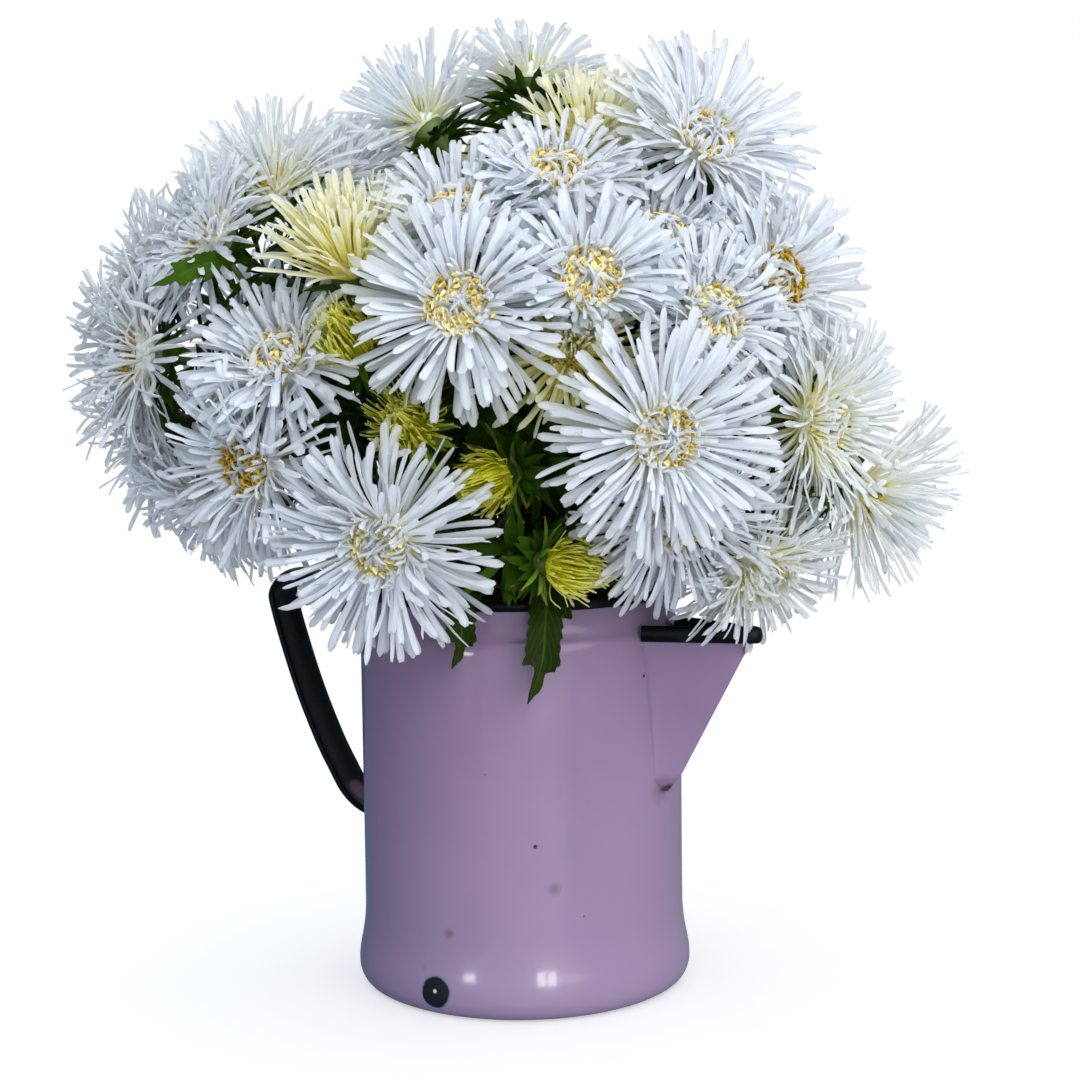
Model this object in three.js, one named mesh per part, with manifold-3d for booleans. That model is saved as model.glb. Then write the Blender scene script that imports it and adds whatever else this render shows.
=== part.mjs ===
// A jug of white needle asters: an enamelled steel jug with a pouring lip and a strap handle, the
// water in it, and branching stems that carry leaves, buds, half-open heads and open blooms.
//
// Millimetres, +Z up. The origin is the centre of the jug's flat foot, +X points at the pouring lip.

import * as THREE from 'three';
import { mergeVertices } from 'three/addons/utils/BufferGeometryUtils.js';
import Module from 'manifold-3d';

const wasm = await Module();
wasm.setup();

// Clearances
const GAP = 0.3;
const PETAL_GAP = 0.45;

// Jug
const WALL_R = 65;
const SHEET = 1.6;
const FOOT_R = 68;
const FOOT_Z = 9;
const FLOOR_Z = 2;
const SHOULDER_Z = 146;
const RIM_Z = 161.8;
const COLLAR_R = 61.9;
const BEAD_R = 2;
const BEAD_OUT = 0.6;
const BEAD_ANGLES = [-0.6, 0.25, 1.1, 1.9, 2.6];
const JUG_SIDES = 32;
const JUG_OUTSIDE = [
  [0, 0], [62.5, 0], [65.8, 1.4], [67.7, 5], [FOOT_R, FOOT_Z], [67.4, 14], [66.1, 20], [WALL_R, 30],
  [WALL_R, SHOULDER_Z - 3], [64.5, SHOULDER_Z - 0.8], [63.2, SHOULDER_Z + 1], [62.2, 150],
  [COLLAR_R, 154], [62.2, 158],
];
const JUG_INSIDE = [
  [COLLAR_R - SHEET, 156.6], [COLLAR_R - SHEET, 150], [62.4, SHOULDER_Z - 2.5],
  [WALL_R - SHEET, SHOULDER_Z - 6], [WALL_R - SHEET, 28], [WALL_R - SHEET, FLOOR_Z], [0, FLOOR_Z],
];

// Pouring lip
const SPOUT_FOOT_Z = 82;
const SPOUT_TOP_Z = 149;
const SPOUT_KEEL = [
  { z: SPOUT_FOOT_Z, r: WALL_R + 1.5 }, { z: 89.5, r: 72.5 },
  { z: 137, r: 98.5 }, { z: SPOUT_TOP_Z, r: 106 },
];
const SPOUT_LEVELS = [SPOUT_FOOT_Z, 84.5, 89.5, 105, 122, 137, SPOUT_TOP_Z];
const TROUGH_LEVELS = [96, 105, 122, 137, SPOUT_TOP_Z];
const SPOUT_HALF_ANGLE_FOOT = 6;
const SPOUT_HALF_ANGLE_TOP = 14.5;
const SPOUT_ROUND_FOOT = 6;
const SPOUT_FOLD = 0.1;
const SPOUT_BACK = 8;
const THROAT = { low: 106, high: 136, halfWidth: 11 };

// Handle, as distances from the jug's axis and heights along the middle of the strap
const STRAP_WIDTH = 20;
const STRAP_DEPTH = 5;
const STRAP_ROUTE = [
  [62, 137], [80, 146], [98, 157], [112, 160], [120.5, 153], [119.5, 143], [109, 113],
  [98.5, 90], [91, 77], [84.5, 67.5], [76, 61.5], [62, 58],
];
const STRAP_STEPS = 16;
const STRAP_SECTION = [
  [-0.5, -0.2], [-0.32, 0.5], [0.32, 0.5], [0.5, -0.2], [0.42, -0.5], [0, -0.22], [-0.42, -0.5],
];

// Water and stems
const WATER_TOP = 100;
const STEM_R = 3.4;
const STEM_SIDES = 6;
const BRANCH_R = 1.8;
const BRANCH_SIDES = 4;
const CALYX_DEPTH = 10;
const CUP_RADIUS = { full: 6.5, half: 6, bud: 4.4 };
const BRANCH_KNEE = 0.4;
const BRANCH_RISE = 0.08;
const BRACT_REACH = 15;
const BRACT_ROOT_R = 3;
const BRACT_TIP_R = 0.5;
const BRACT_TRIES = 30;
const STEM_ROOM = 0.6;

// Blooms
const CORE_DEPTH = 12;
const PETAL_TIP = 2.6;
const PETAL_TRIES = 160;
const WHOLE_TRIES = 0.3;
const LIFT_SPREAD = 24;
const TURN_SPREAD = 3;
const SIBLING_APART = 2.5;
const SIBLING_TIPS = 3.4;
const SIBLING_WEIGHT = 5;
const FLORET = 4;
const BLOOM_SEED = 320;
const SEED_STEP = 17;
const STEM_SEED = 11;
const LEAF_THICK = 0.9;

// Each row is a belt of faces round the core, and grows two kinds of petal: the lower and the upper.
// The lifts of the four kinds don't overlap, so that neighbours never cross.
const FORMS = {
  full: {
    levels: [[6.6, 0], [11.5, 3], [13, 7.6], [9.6, CORE_DEPTH]],
    lifts: [[-14, 3], [7, 20], [24, 38], [42, 60]],
    reach: [1, 1, 0.97, 0.9],
    stub: 15.8,
  },
  half: {
    levels: [[6, 0], [8.6, 3], [9.4, 8], [6.4, CORE_DEPTH]],
    lifts: [[6, 20], [24, 34], [38, 48], [52, 62]],
    reach: [0.96, 1, 1, 0.96],
    stub: 12,
  },
  bud: {
    levels: [[4.4, 0], [7, 3.5], [6.8, 8], [3.6, CORE_DEPTH]],
    lifts: [[5, 20], [24, 36], [40, 52], [56, 70]],
    reach: [0.8, 0.85, 0.9, 0.95],
    stub: 9,
  },
};

// The bouquet was laid out from its front, which is turned 30 degrees from the handle's plane.
const FRONT_TURN = 30;

const rad = (degrees) => THREE.MathUtils.degToRad(degrees);

/** A place in the part from its distance to the right, up and toward the bouquet's front. */
function place(right, up, toward) {
  const c = Math.cos(rad(FRONT_TURN));
  const s = Math.sin(rad(FRONT_TURN));
  return new THREE.Vector3(right * c + toward * s, right * s - toward * c, up);
}

/** A direction: turn in degrees to the right of the front, lift in degrees above level. */
function facing(turn, lift) {
  const level = Math.cos(rad(lift));
  return place(Math.sin(rad(turn)) * level, Math.sin(rad(lift)), Math.cos(rad(turn)) * level);
}

/** A repeatable stream of numbers from 0 to 1. */
function randomStream(seed) {
  let state = seed >>> 0;
  return () => {
    state = (state + 0x6d2b79f5) >>> 0;
    let t = Math.imul(state ^ (state >>> 15), 1 | state);
    t = (t + Math.imul(t ^ (t >>> 7), 61 | t)) ^ t;
    return ((t ^ (t >>> 14)) >>> 0) / 4294967296;
  };
}

// Heads: form, place of the disc (right, up, toward), turn, lift, reach of the petals, stem.
// The ones that stand in front come first, because each head's petals keep clear of the earlier ones.
const HEAD_ROWS = [
  ['full', -19, 272, 118, -8, 12, 42, 'f'],
  ['full', 52, 225, 124, 14, 0, 45, 'a'],
  ['full', -49, 187, 110, -18, -14, 44, 'b'],
  ['full', -99, 215, 88, -40, -8, 43, 'c'],
  ['full', -86, 256, 88, -30, 38, 42, 'c'],
  ['half', -60, 294, 83, -14, 60, 34, 'h'],
  ['full', -20, 307, 86, -6, 50, 40, 'f'],
  ['full', 27, 281, 110, 12, 16, 37, 'f'],
  ['full', 74, 335, 48, 28, 30, 44, 'g'],
  ['full', 54, 298, 78, 20, 45, 35, 'g'],
  ['full', 72, 268, 96, 28, 15, 36, 'g'],
  ['full', 100, 281, 66, 42, 12, 40, 'g'],
  ['full', 117, 227, 66, 52, -5, 44, 'e'],
  ['half', 140, 195, 35, 75, -30, 41, 'e'],
  ['full', 92, 168, 66, 38, -45, 36, 'e'],
  ['full', 60, 192, 92, 18, -36, 42, 'a'],
  ['full', -151, 255, 40, -64, 5, 38, 'd'],
  ['full', -150, 222, 10, -95, -18, 36, 'd'],
  ['full', -125, 193, 35, -62, -44, 38, 'd'],
  ['half', -99, 326, 15, -42, 52, 36, 'h'],
  ['full', -122, 302, 45, -60, 28, 34, 'h'],
  ['full', -151, 287, 8, -88, 20, 34, 'd'],
  ['full', -78, 330, -8, -30, 60, 36, 'h'],
  ['half', -42, 353, -18, -110, 48, 42, 'h'],
  ['full', 7, 369, -24, 170, 60, 36, 'i'],
  ['half', 29, 340, 38, 12, 60, 32, 'i'],
  ['full', 16, 322, 78, 4, 52, 32, 'f'],
  ['half', 21, 258, 94, 0, 12, 35, 'a'],
  ['full', 108, 181, 20, 70, -28, 32, 'e'],
  ['full', -116, 262, -48, -115, 15, 40, 'j'],
  ['full', -72, 290, -84, -140, 32, 40, 'j'],
  ['full', -25, 245, -104, -168, 5, 42, 'j'],
  ['full', 36, 280, -98, 160, 20, 42, 'k'],
  ['full', 86, 240, -82, 134, 4, 42, 'k'],
  ['full', 114, 277, -30, 102, 20, 40, 'k'],
  ['full', 56, 324, -48, 128, 52, 38, 'i'],
  ['half', -36, 322, -64, -155, 55, 36, 'i'],
  ['full', -80, 208, -74, -138, -20, 40, 'j'],
  ['full', 34, 202, -94, 160, -22, 40, 'k'],
  ['full', 124, 221, -28, 104, -8, 38, 'k'],
  ['bud', -60, 262, 94, -16, 30, 20, 'c'],
  ['bud', -39, 231, 96, -6, 12, 22, 'b'],
  ['bud', -13, 208, 90, -50, -12, 16, 'b'],
  ['bud', 22, 177, 92, 60, -6, 17, 'a'],
];

const FRONT_BLOOMS = 16;

/** The heads with their names: blooms and buds are numbered in the order of their rows. */
function namedHeads() {
  const counts = { bloom: 0, bud: 0 };
  return HEAD_ROWS.map(([form, right, up, toward, turn, lift, reach, stem]) => {
    const word = form === 'bud' ? 'bud' : 'bloom';
    counts[word] += 1;
    const sides = { full: counts[word] > FRONT_BLOOMS ? 8 : 10, half: 8, bud: 7 }[form];
    const name = `${word}_${String(counts[word]).padStart(2, '0')}`;
    return { name, form, at: [right, up, toward], turn, lift, reach, stem, sides };
  });
}

const HEADS = namedHeads();

// Stems: the foot in the water (right, toward) and the fork (right, up, toward)
const STEMS = {
  a: { foot: [14, 36], fork: [24, 184, 46] },
  b: { foot: [-12, 38], fork: [-18, 176, 50] },
  c: { foot: [-32, 24], fork: [-42, 196, 32] },
  d: { foot: [-42, 4], fork: [-54, 204, 2] },
  e: { foot: [40, 18], fork: [50, 190, 20] },
  f: { foot: [0, 14], fork: [0, 246, 44] },
  g: { foot: [22, 10], fork: [44, 242, 30] },
  h: { foot: [-20, 2], fork: [-52, 262, 8] },
  i: { foot: [0, -8], fork: [4, 280, -16] },
  j: { foot: [-26, -24], fork: [-42, 208, -34] },
  k: { foot: [26, -24], fork: [42, 206, -34] },
};

// Leaves: root and tip (right, up, toward), half the width, and whether the leaf hangs over the rim
const LEAVES = [
  { stem: 'a', root: [11, 173, 58], tip: [8, 125, 78], half: 11, hangs: true },
  { stem: 'b', root: [-23, 172, 56], tip: [-20, 138, 73], half: 9, hangs: true },
  { stem: 'd', root: [-104, 284, 52], tip: [-127, 281, 74], half: 8, hangs: false },
  { stem: 'e', root: [80, 200, 40], tip: [120, 196, 78], half: 10, hangs: false },
  { stem: 'a', root: [20, 192, 56], tip: [-4, 236, 84], half: 7, hangs: false },
  { stem: 'b', root: [-30, 186, 56], tip: [-52, 236, 84], half: 7, hangs: false },
  { stem: 'j', root: [-54, 206, -44], tip: [-92, 240, -86], half: 10, hangs: false },
  { stem: 'k', root: [50, 202, -44], tip: [72, 168, -96], half: 10, hangs: false },
  { stem: 'k', root: [40, 212, -40], tip: [0, 246, -84], half: 9, hangs: false },
  { stem: 'j', root: [-44, 206, -44], tip: [-46, 166, -94], half: 10, hangs: false },
];
const LEAF_LOBES = [0.12, 0.72, 0.46, 1, 0.56, 0.9, 0.34, 0.06];
const LEAF_BOW = 10;
const HANGING_BOW = { up: 6, toward: 14 };
const LEAF_FOLD = 0.25;

/** Geometry with its shared corners merged, facing out. */
function closed(geometry) {
  geometry.deleteAttribute('normal');
  geometry.deleteAttribute('uv');
  const merged = mergeVertices(geometry, 1e-4);
  const at = merged.getAttribute('position');
  const index = Array.from(merged.getIndex().array);
  const kept = [];
  for (let i = 0; i < index.length; i += 3) {
    const [a, b, c] = [index[i], index[i + 1], index[i + 2]];
    if (a !== b && b !== c && c !== a) kept.push(a, b, c);
  }
  const corner = (k) => new THREE.Vector3().fromBufferAttribute(at, kept[k]);
  let volume = 0;
  for (let i = 0; i < kept.length; i += 3) {
    volume += corner(i).dot(corner(i + 1).cross(corner(i + 2)));
  }
  merged.setIndex(volume < 0 ? kept.reverse() : kept);
  return merged;
}

/** The solid of a closed geometry, for joining and cutting. */
function solid(geometry) {
  const merged = closed(geometry);
  return new wasm.Manifold(new wasm.Mesh({
    numProp: 3,
    vertProperties: new Float32Array(merged.getAttribute('position').array),
    triVerts: new Uint32Array(merged.getIndex().array),
  }));
}

/** A geometry from a joined or cut solid. */
function geometryOf(manifold) {
  const mesh = manifold.getMesh();
  const geometry = new THREE.BufferGeometry();
  geometry.setAttribute('position', new THREE.BufferAttribute(mesh.vertProperties, 3));
  geometry.setIndex(new THREE.BufferAttribute(mesh.triVerts, 1));
  return geometry;
}

/** A closed body from corner points and triangles. */
function geometryFrom(points, triangles) {
  const geometry = new THREE.BufferGeometry();
  geometry.setAttribute('position', new THREE.Float32BufferAttribute(points.flatMap((p) => p.toArray()), 3));
  geometry.setIndex(triangles.flat());
  return geometry;
}

/** The triangles of a skin through rings of the same count, closed by a flat face at each end. */
function loftFaces(rings) {
  const count = rings[0].length;
  const triangles = [];
  for (let r = 0; r + 1 < rings.length; r += 1) {
    for (let i = 0; i < count; i += 1) {
      const a = r * count + i;
      const b = r * count + ((i + 1) % count);
      triangles.push([a, b, b + count], [a, b + count, a + count]);
    }
  }
  const last = (rings.length - 1) * count;
  for (let i = 1; i + 1 < count; i += 1) {
    triangles.push([0, i + 1, i], [last, last + i, last + i + 1]);
  }
  return triangles;
}

function loft(rings) {
  return geometryFrom(rings.flat(), loftFaces(rings));
}

// Jug

function jugBody() {
  const bead = BEAD_ANGLES.map((angle) => [
    COLLAR_R + BEAD_OUT + Math.cos(angle) * BEAD_R, RIM_Z - BEAD_R + Math.sin(angle) * BEAD_R,
  ]);
  const profile = [...JUG_OUTSIDE, ...bead, ...JUG_INSIDE].map(([r, z]) => new THREE.Vector2(r, z));
  const turned = new THREE.LatheGeometry(profile, JUG_SIDES).rotateX(Math.PI / 2);
  return geometryOf(solid(turned).subtract(solid(throat())));
}

/** The window through the wall that lets the water out into the lip. */
function throat() {
  const { low, high, halfWidth } = THROAT;
  const shape = new THREE.Shape();
  shape.moveTo(-halfWidth, high);
  shape.lineTo(-halfWidth, low + halfWidth);
  shape.absarc(0, low + halfWidth, halfWidth, Math.PI, Math.PI * 2, false);
  shape.lineTo(halfWidth, high);
  const depth = 20;
  const block = new THREE.ExtrudeGeometry(shape, { depth, bevelEnabled: false, curveSegments: 4 });
  const upright = new THREE.Matrix4().makeBasis(
    new THREE.Vector3(0, 1, 0), new THREE.Vector3(0, 0, 1), new THREE.Vector3(1, 0, 0),
  );
  return block.applyMatrix4(upright).translate(WALL_R - depth / 2, 0, 0);
}

/** Cuts a piece back to the round of the wall, where it is welded on. */
function trimmedToWall(geometry) {
  const round = new THREE.CylinderGeometry(WALL_R + GAP, WALL_R + GAP, RIM_Z * 3, JUG_SIDES);
  return geometryOf(solid(geometry).subtract(solid(round.rotateX(Math.PI / 2))));
}

/** How far the lip's keel stands from the axis at a height. */
function keel(z) {
  const next = Math.max(1, SPOUT_KEEL.findIndex((point) => z <= point.z));
  const [low, high] = [SPOUT_KEEL[next - 1], SPOUT_KEEL[next]];
  return THREE.MathUtils.mapLinear(z, low.z, high.z, low.r, high.r);
}

/** Half the angle of the wall that the lip covers at a height. Its lower end is rounded. */
function spoutHalfAngle(z) {
  const straight = THREE.MathUtils.mapLinear(
    z, SPOUT_FOOT_Z, SPOUT_TOP_Z, SPOUT_HALF_ANGLE_FOOT, SPOUT_HALF_ANGLE_TOP,
  );
  return rad(straight * Math.sqrt(Math.min(1, (z - SPOUT_FOOT_Z + GAP) / SPOUT_ROUND_FOOT)));
}

/** One level section of the folded lip, drawn in by a sheet's thickness. */
function spoutSection(z, inset, level = z) {
  const wall = WALL_R + GAP;
  const half = spoutHalfAngle(z) - inset / WALL_R;
  const reach = keel(z) - inset * 1.6 - wall;
  const steps = 8;
  const blunt = (s) => Math.hypot(s, SPOUT_FOLD);
  const ring = Array.from({ length: steps + 1 }, (_, i) => {
    const s = -1 + (2 * i) / steps;
    const fold = (blunt(1) - blunt(s)) / (blunt(1) - SPOUT_FOLD);
    return new THREE.Vector3(Math.cos(half * s) * wall + reach * fold, Math.sin(half) * wall * s, level);
  });
  const back = [1, -1].map((s) => new THREE.Vector3(wall - SPOUT_BACK, Math.sin(half) * wall * s, level));
  return [...ring, ...back];
}

function jugSpout() {
  const outer = loft(SPOUT_LEVELS.map((z) => spoutSection(z, 0)));
  const inner = loft([
    ...TROUGH_LEVELS.map((z) => spoutSection(z, SHEET)), spoutSection(SPOUT_TOP_Z, SHEET, SPOUT_TOP_Z + 5),
  ]);
  return trimmedToWall(geometryOf(solid(outer).subtract(solid(inner))));
}

/** The strap handle: its edges curl in toward the hand, so its section is a shallow channel. */
function jugHandle() {
  const route = new THREE.CatmullRomCurve3(STRAP_ROUTE.map(([r, z]) => new THREE.Vector3(-r, 0, z)));
  const sections = Array.from({ length: STRAP_STEPS + 1 }, (_, i) => {
    const at = route.getPointAt(i / STRAP_STEPS);
    const out = new THREE.Vector3(0, -1, 0).cross(route.getTangentAt(i / STRAP_STEPS));
    return STRAP_SECTION.map(([across, deep]) => {
      const point = at.clone().addScaledVector(out, deep * STRAP_DEPTH);
      return point.setY(across * STRAP_WIDTH);
    });
  });
  return trimmedToWall(loft(sections));
}

// Stems, calyxes and leaves

/** Everything that later pieces have to stay clear of, as tapered rods with an owner. */
const obstacles = [];

/** The least distance of two straight pieces, and how far along each of them it is. */
function separation(p1, q1, p2, q2) {
  const d1 = q1.clone().sub(p1);
  const d2 = q2.clone().sub(p2);
  const r = p1.clone().sub(p2);
  const [a, b, c, e, f] = [d1.dot(d1), d1.dot(d2), d1.dot(r), d2.dot(d2), d2.dot(r)];
  const { clamp } = THREE.MathUtils;
  const parallel = a * e - b * b < 1e-9;
  let s = parallel ? 0 : clamp((b * f - c * e) / (a * e - b * b), 0, 1);
  const t = clamp((b * s + f) / e, 0, 1);
  s = clamp((b * t - c) / a, 0, 1);
  const nearest = p2.clone().addScaledVector(d2, t);
  return { apart: p1.clone().addScaledVector(d1, s).distanceTo(nearest), s, t };
}

/** How much room a tapered rod has to the jug's wall and rim. */
function jugRoom(from, to, fromR, toR) {
  let least = Infinity;
  const samples = 8;
  const ringR = WALL_R - SHEET;
  for (let i = 0; i <= samples; i += 1) {
    const at = from.clone().lerp(to, i / samples);
    const beside = Math.hypot(at.x, at.y) - ringR;
    const above = Math.max(0, at.z - RIM_Z + BEAD_R);
    const free = Math.hypot(beside, above) - BEAD_R - SHEET / 2;
    least = Math.min(least, free - THREE.MathUtils.lerp(fromR, toR, i / samples));
  }
  return least;
}

/** How much room a tapered rod has to the nearest obstacle of another owner. */
function room(from, to, fromR, toR, owners) {
  const { lerp } = THREE.MathUtils;
  const nearJug = Math.min(from.z, to.z) < RIM_Z + fromR + BEAD_R;
  const span = from.distanceTo(to) + fromR;
  return obstacles.reduce((least, other) => {
    if (owners.includes(other.owner)) return least;
    if (other.middle.distanceTo(from) - other.reach - span > 2) return least;
    const { apart, s, t } = separation(from, to, other.from, other.to);
    return Math.min(least, apart - lerp(fromR, toR, s) - lerp(other.fromR, other.toR, t));
  }, nearJug ? jugRoom(from, to, fromR, toR) : Infinity);
}

function addObstacle(owner, from, to, fromR, toR) {
  const middle = from.clone().lerp(to, 0.5);
  const reach = from.distanceTo(to) / 2 + Math.max(fromR, toR);
  obstacles.push({ owner, from, to, fromR, toR, middle, reach });
}

/** A frame at the foot of a head, whose third axis is the way the head faces. */
function headFrame(head) {
  const out = facing(head.turn, head.lift);
  const side = new THREE.Vector3(0, 0, 1).cross(out).normalize();
  const foot = place(...head.at).addScaledVector(out, -CORE_DEPTH);
  return new THREE.Matrix4().makeBasis(side, out.clone().cross(side), out).setPosition(foot);
}

/** Rings of corners, each half a step round from the last. */
function rings(levels, sides) {
  const points = [];
  levels.forEach(([radius, height], k) => {
    for (let i = 0; i < sides; i += 1) {
      const angle = ((i + (k % 2) / 2) / sides) * Math.PI * 2;
      points.push(new THREE.Vector3(Math.cos(angle) * radius, Math.sin(angle) * radius, height));
    }
  });
  return points;
}

/** The two kinds of triangles between ring k and the next: flat side below, then flat side above. */
function strip(k, sides) {
  const faces = [];
  for (let i = 0; i < sides; i += 1) {
    const next = (i + 1) % sides;
    const low = k * sides;
    const high = (k + 1) * sides;
    if (k % 2 === 0) {
      faces.push([low + i, low + next, high + i], [high + next, high + i, low + next]);
    } else {
      faces.push([low + i, low + next, high + next], [high + next, high + i, low + i]);
    }
  }
  return faces;
}

/** Draws a triangle out into a strap with a chisel tip. */
function drawStrap(points, [a, b, c], tip, width) {
  const across = points[a].clone().sub(points[b]).setLength(width / 2);
  const left = points.push(tip.clone().add(across)) - 1;
  const right = points.push(tip.clone().sub(across)) - 1;
  return [[a, b, right], [a, right, left], [b, c, right], [c, a, left], [c, left, right]];
}

/** Draws a triangle out into a point. */
function drawSpike(points, [a, b, c], tip) {
  const t = points.push(tip) - 1;
  return [[a, b, t], [b, c, t], [c, a, t]];
}

function middleOf(points, [a, b, c]) {
  return points[a].clone().add(points[b]).add(points[c]).divideScalar(3);
}

/** The middle line of a leaf, bowed over the rim where the leaf hangs. */
function leafSpine({ root, tip, hangs }) {
  const [from, to] = [place(...root), place(...tip)];
  const bow = hangs ? place(0, HANGING_BOW.up, HANGING_BOW.toward) : place(0, LEAF_BOW, 0);
  return new THREE.QuadraticBezierCurve3(from, from.clone().lerp(to, hangs ? 0.3 : 0.5).add(bow), to);
}

/** A lobed blade: its outline is cut into teeth, and its halves fold up along the middle line. */
function leaf(row) {
  const spine = leafSpine(row);
  const along = spine.v2.clone().sub(spine.v0).normalize();
  const outward = row.hangs ? place(0, 0, 1) : new THREE.Vector3(0, 0, 1);
  const side = along.clone().cross(outward).normalize();
  const face = side.clone().cross(along).normalize();
  return loft(LEAF_LOBES.map((lobe, i) => {
    const at = spine.getPoint(i / (LEAF_LOBES.length - 1));
    const half = lobe * row.half;
    const corner = (across, sign) => at.clone().addScaledVector(side, across * half)
      .addScaledVector(face, Math.abs(across) * half * LEAF_FOLD + (sign * LEAF_THICK) / 2);
    return [corner(-1, -1), corner(0, -1), corner(1, -1), corner(1, 1), corner(0, 1), corner(-1, 1)];
  }));
}

/** The rings of a tapered rod, each with a place, a radius and the way that it faces. */
function sweepRings(stations, sides) {
  let side = new THREE.Vector3(1, 0, 0);
  return stations.map(({ at, radius, along }) => {
    side = side.clone().addScaledVector(along, -side.dot(along)).normalize();
    const other = along.clone().cross(side);
    return Array.from({ length: sides }, (_, i) => {
      const angle = (i / sides) * Math.PI * 2;
      return at.clone().addScaledVector(side, Math.cos(angle) * radius)
        .addScaledVector(other, Math.sin(angle) * radius);
    });
  });
}

/** The curve of a side branch from the fork to the underside of a head. */
function branchCurve(fork, head) {
  const frame = headFrame(head);
  const seat = new THREE.Vector3(0, 0, -CALYX_DEPTH).applyMatrix4(frame);
  const out = new THREE.Vector3().setFromMatrixColumn(frame, 2);
  const span = seat.distanceTo(fork);
  const knee = seat.clone().addScaledVector(out, -span * BRANCH_KNEE);
  const start = fork.clone().lerp(knee, 0.55);
  start.z += span * BRANCH_RISE;
  return new THREE.CubicBezierCurve3(fork, start, knee, seat);
}

function addCurveObstacle(owner, curve, radius, steps = 5) {
  const points = curve.getPoints(steps);
  points.slice(1).forEach((point, i) => addObstacle(owner, points[i], point, radius, radius));
}

function stationsAlong(curve, radius, steps) {
  return Array.from({ length: steps + 1 }, (_, i) => ({
    at: curve.getPoint(i / steps), radius, along: curve.getTangent(i / steps),
  }));
}

/** A side branch that widens into the green cup under its head, with leafy bracts drawn out of it. */
function branch(curve, head, random, owners) {
  const frame = headFrame(head);
  const out = new THREE.Vector3().setFromMatrixColumn(frame, 2);
  const cupAt = (height) => ({
    at: new THREE.Vector3(0, 0, height).applyMatrix4(frame), radius: CUP_RADIUS[head.form], along: out,
  });
  const stations = [...stationsAlong(curve, BRANCH_R, 3), cupAt(-CALYX_DEPTH / 2), cupAt(-GAP)];
  const sections = sweepRings(stations, BRANCH_SIDES);
  const points = sections.flat();
  const cupEnd = (stations.length - 1) * BRANCH_SIDES * 2;
  const cupStart = cupEnd - BRANCH_SIDES * 2;
  const triangles = loftFaces(sections).flatMap((face, k) => {
    if (k < cupStart || k >= cupEnd || k % 2) return [face];
    return drawSpike(points, face, bractTip(frame, middleOf(points, face), random, owners));
  });
  return geometryFrom(points, triangles);
}

/** The tip of a leafy bract that starts on the side of the cup, bent clear of its neighbours. */
function bractTip(frame, root, random, owners) {
  const local = root.clone().applyMatrix4(frame.clone().invert());
  let best = null;
  for (let attempt = 0; attempt < BRACT_TRIES; attempt += 1) {
    const turn = Math.atan2(local.y, local.x) + rad((random() - 0.5) * attempt);
    const reach = (BRACT_REACH - attempt * 0.2) * (0.85 + 0.3 * random());
    const drop = local.z - 2 - random() * 4;
    const tip = new THREE.Vector3(Math.cos(turn) * reach, Math.sin(turn) * reach, drop);
    tip.applyMatrix4(frame);
    const free = room(root, tip, BRACT_ROOT_R, BRACT_TIP_R, owners);
    if (!best || free > best.free) best = { tip, free };
    if (free > PETAL_GAP) break;
  }
  addObstacle(owners[0], root, best.tip, BRACT_ROOT_R, BRACT_TIP_R);
  return best.tip;
}

/** The main stem above the water: upright at first, then leaning out to its fork. */
function mainStemCurve({ foot, fork }) {
  const low = place(foot[0], WATER_TOP + 2, foot[1]);
  const high = place(...fork);
  const straight = low.clone().setZ(THREE.MathUtils.lerp(low.z, high.z, 0.45));
  return new THREE.CubicBezierCurve3(low, straight, high.clone().lerp(low, 0.35), high);
}

function mainStem(stem) {
  const stations = stationsAlong(mainStemCurve(stem), STEM_R, 4);
  const [first, last] = [stations[0], stations.at(-1)];
  const foot = { ...first, at: first.at.clone().setZ(FLOOR_Z + GAP) };
  const end = { ...last, at: last.at.clone().addScaledVector(last.along, BRANCH_R * 1.4) };
  return loft(sweepRings([foot, ...stations, end], STEM_SIDES));
}

/** The lip and the handle as obstacles. */
function addJugObstacles() {
  for (let z = SPOUT_FOOT_Z + 10; z <= SPOUT_TOP_Z; z += 6) {
    const half = spoutHalfAngle(z);
    [-1, 1].forEach((sign) => {
      const wall = new THREE.Vector3(Math.cos(half) * WALL_R, sign * Math.sin(half) * WALL_R, z);
      addObstacle('jug', wall, new THREE.Vector3(keel(z), 0, z), 3, 3);
    });
  }
  [-1, 0, 1].forEach((sign) => {
    const y = sign * (STRAP_WIDTH / 2 - 3);
    const points = STRAP_ROUTE.map(([r, z]) => new THREE.Vector3(-r, y, z));
    points.slice(1).forEach((point, i) => addObstacle('jug', points[i], point, 4, 4));
  });
}

/** The core of a head and the cup under it as obstacles. */
function addHeadObstacles(head) {
  const frame = headFrame(head);
  const width = Math.max(...FORMS[head.form].levels.map(([radius]) => radius));
  const at = (z) => new THREE.Vector3(0, 0, z).applyMatrix4(frame);
  addObstacle(head.name, at(2), at(CORE_DEPTH - 3), width, width - 1);
  addObstacle(`cup ${head.name}`, at(-CALYX_DEPTH), at(-4), 2.5, CUP_RADIUS[head.form] + 0.5);
}

/** A leaf on its stalk from the fork. */
function stalkedLeaf(row, fork) {
  const spine = leafSpine(row);
  const stalk = new THREE.LineCurve3(fork, spine.getPoint(0.06));
  addCurveObstacle(`stem ${row.stem}`, spine, row.half * 0.8, 3);
  addCurveObstacle(`stem ${row.stem}`, stalk, BRANCH_R);
  return [leaf(row), loft(sweepRings(stationsAlong(stalk, BRANCH_R * 0.8, 1), BRANCH_SIDES))];
}

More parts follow.
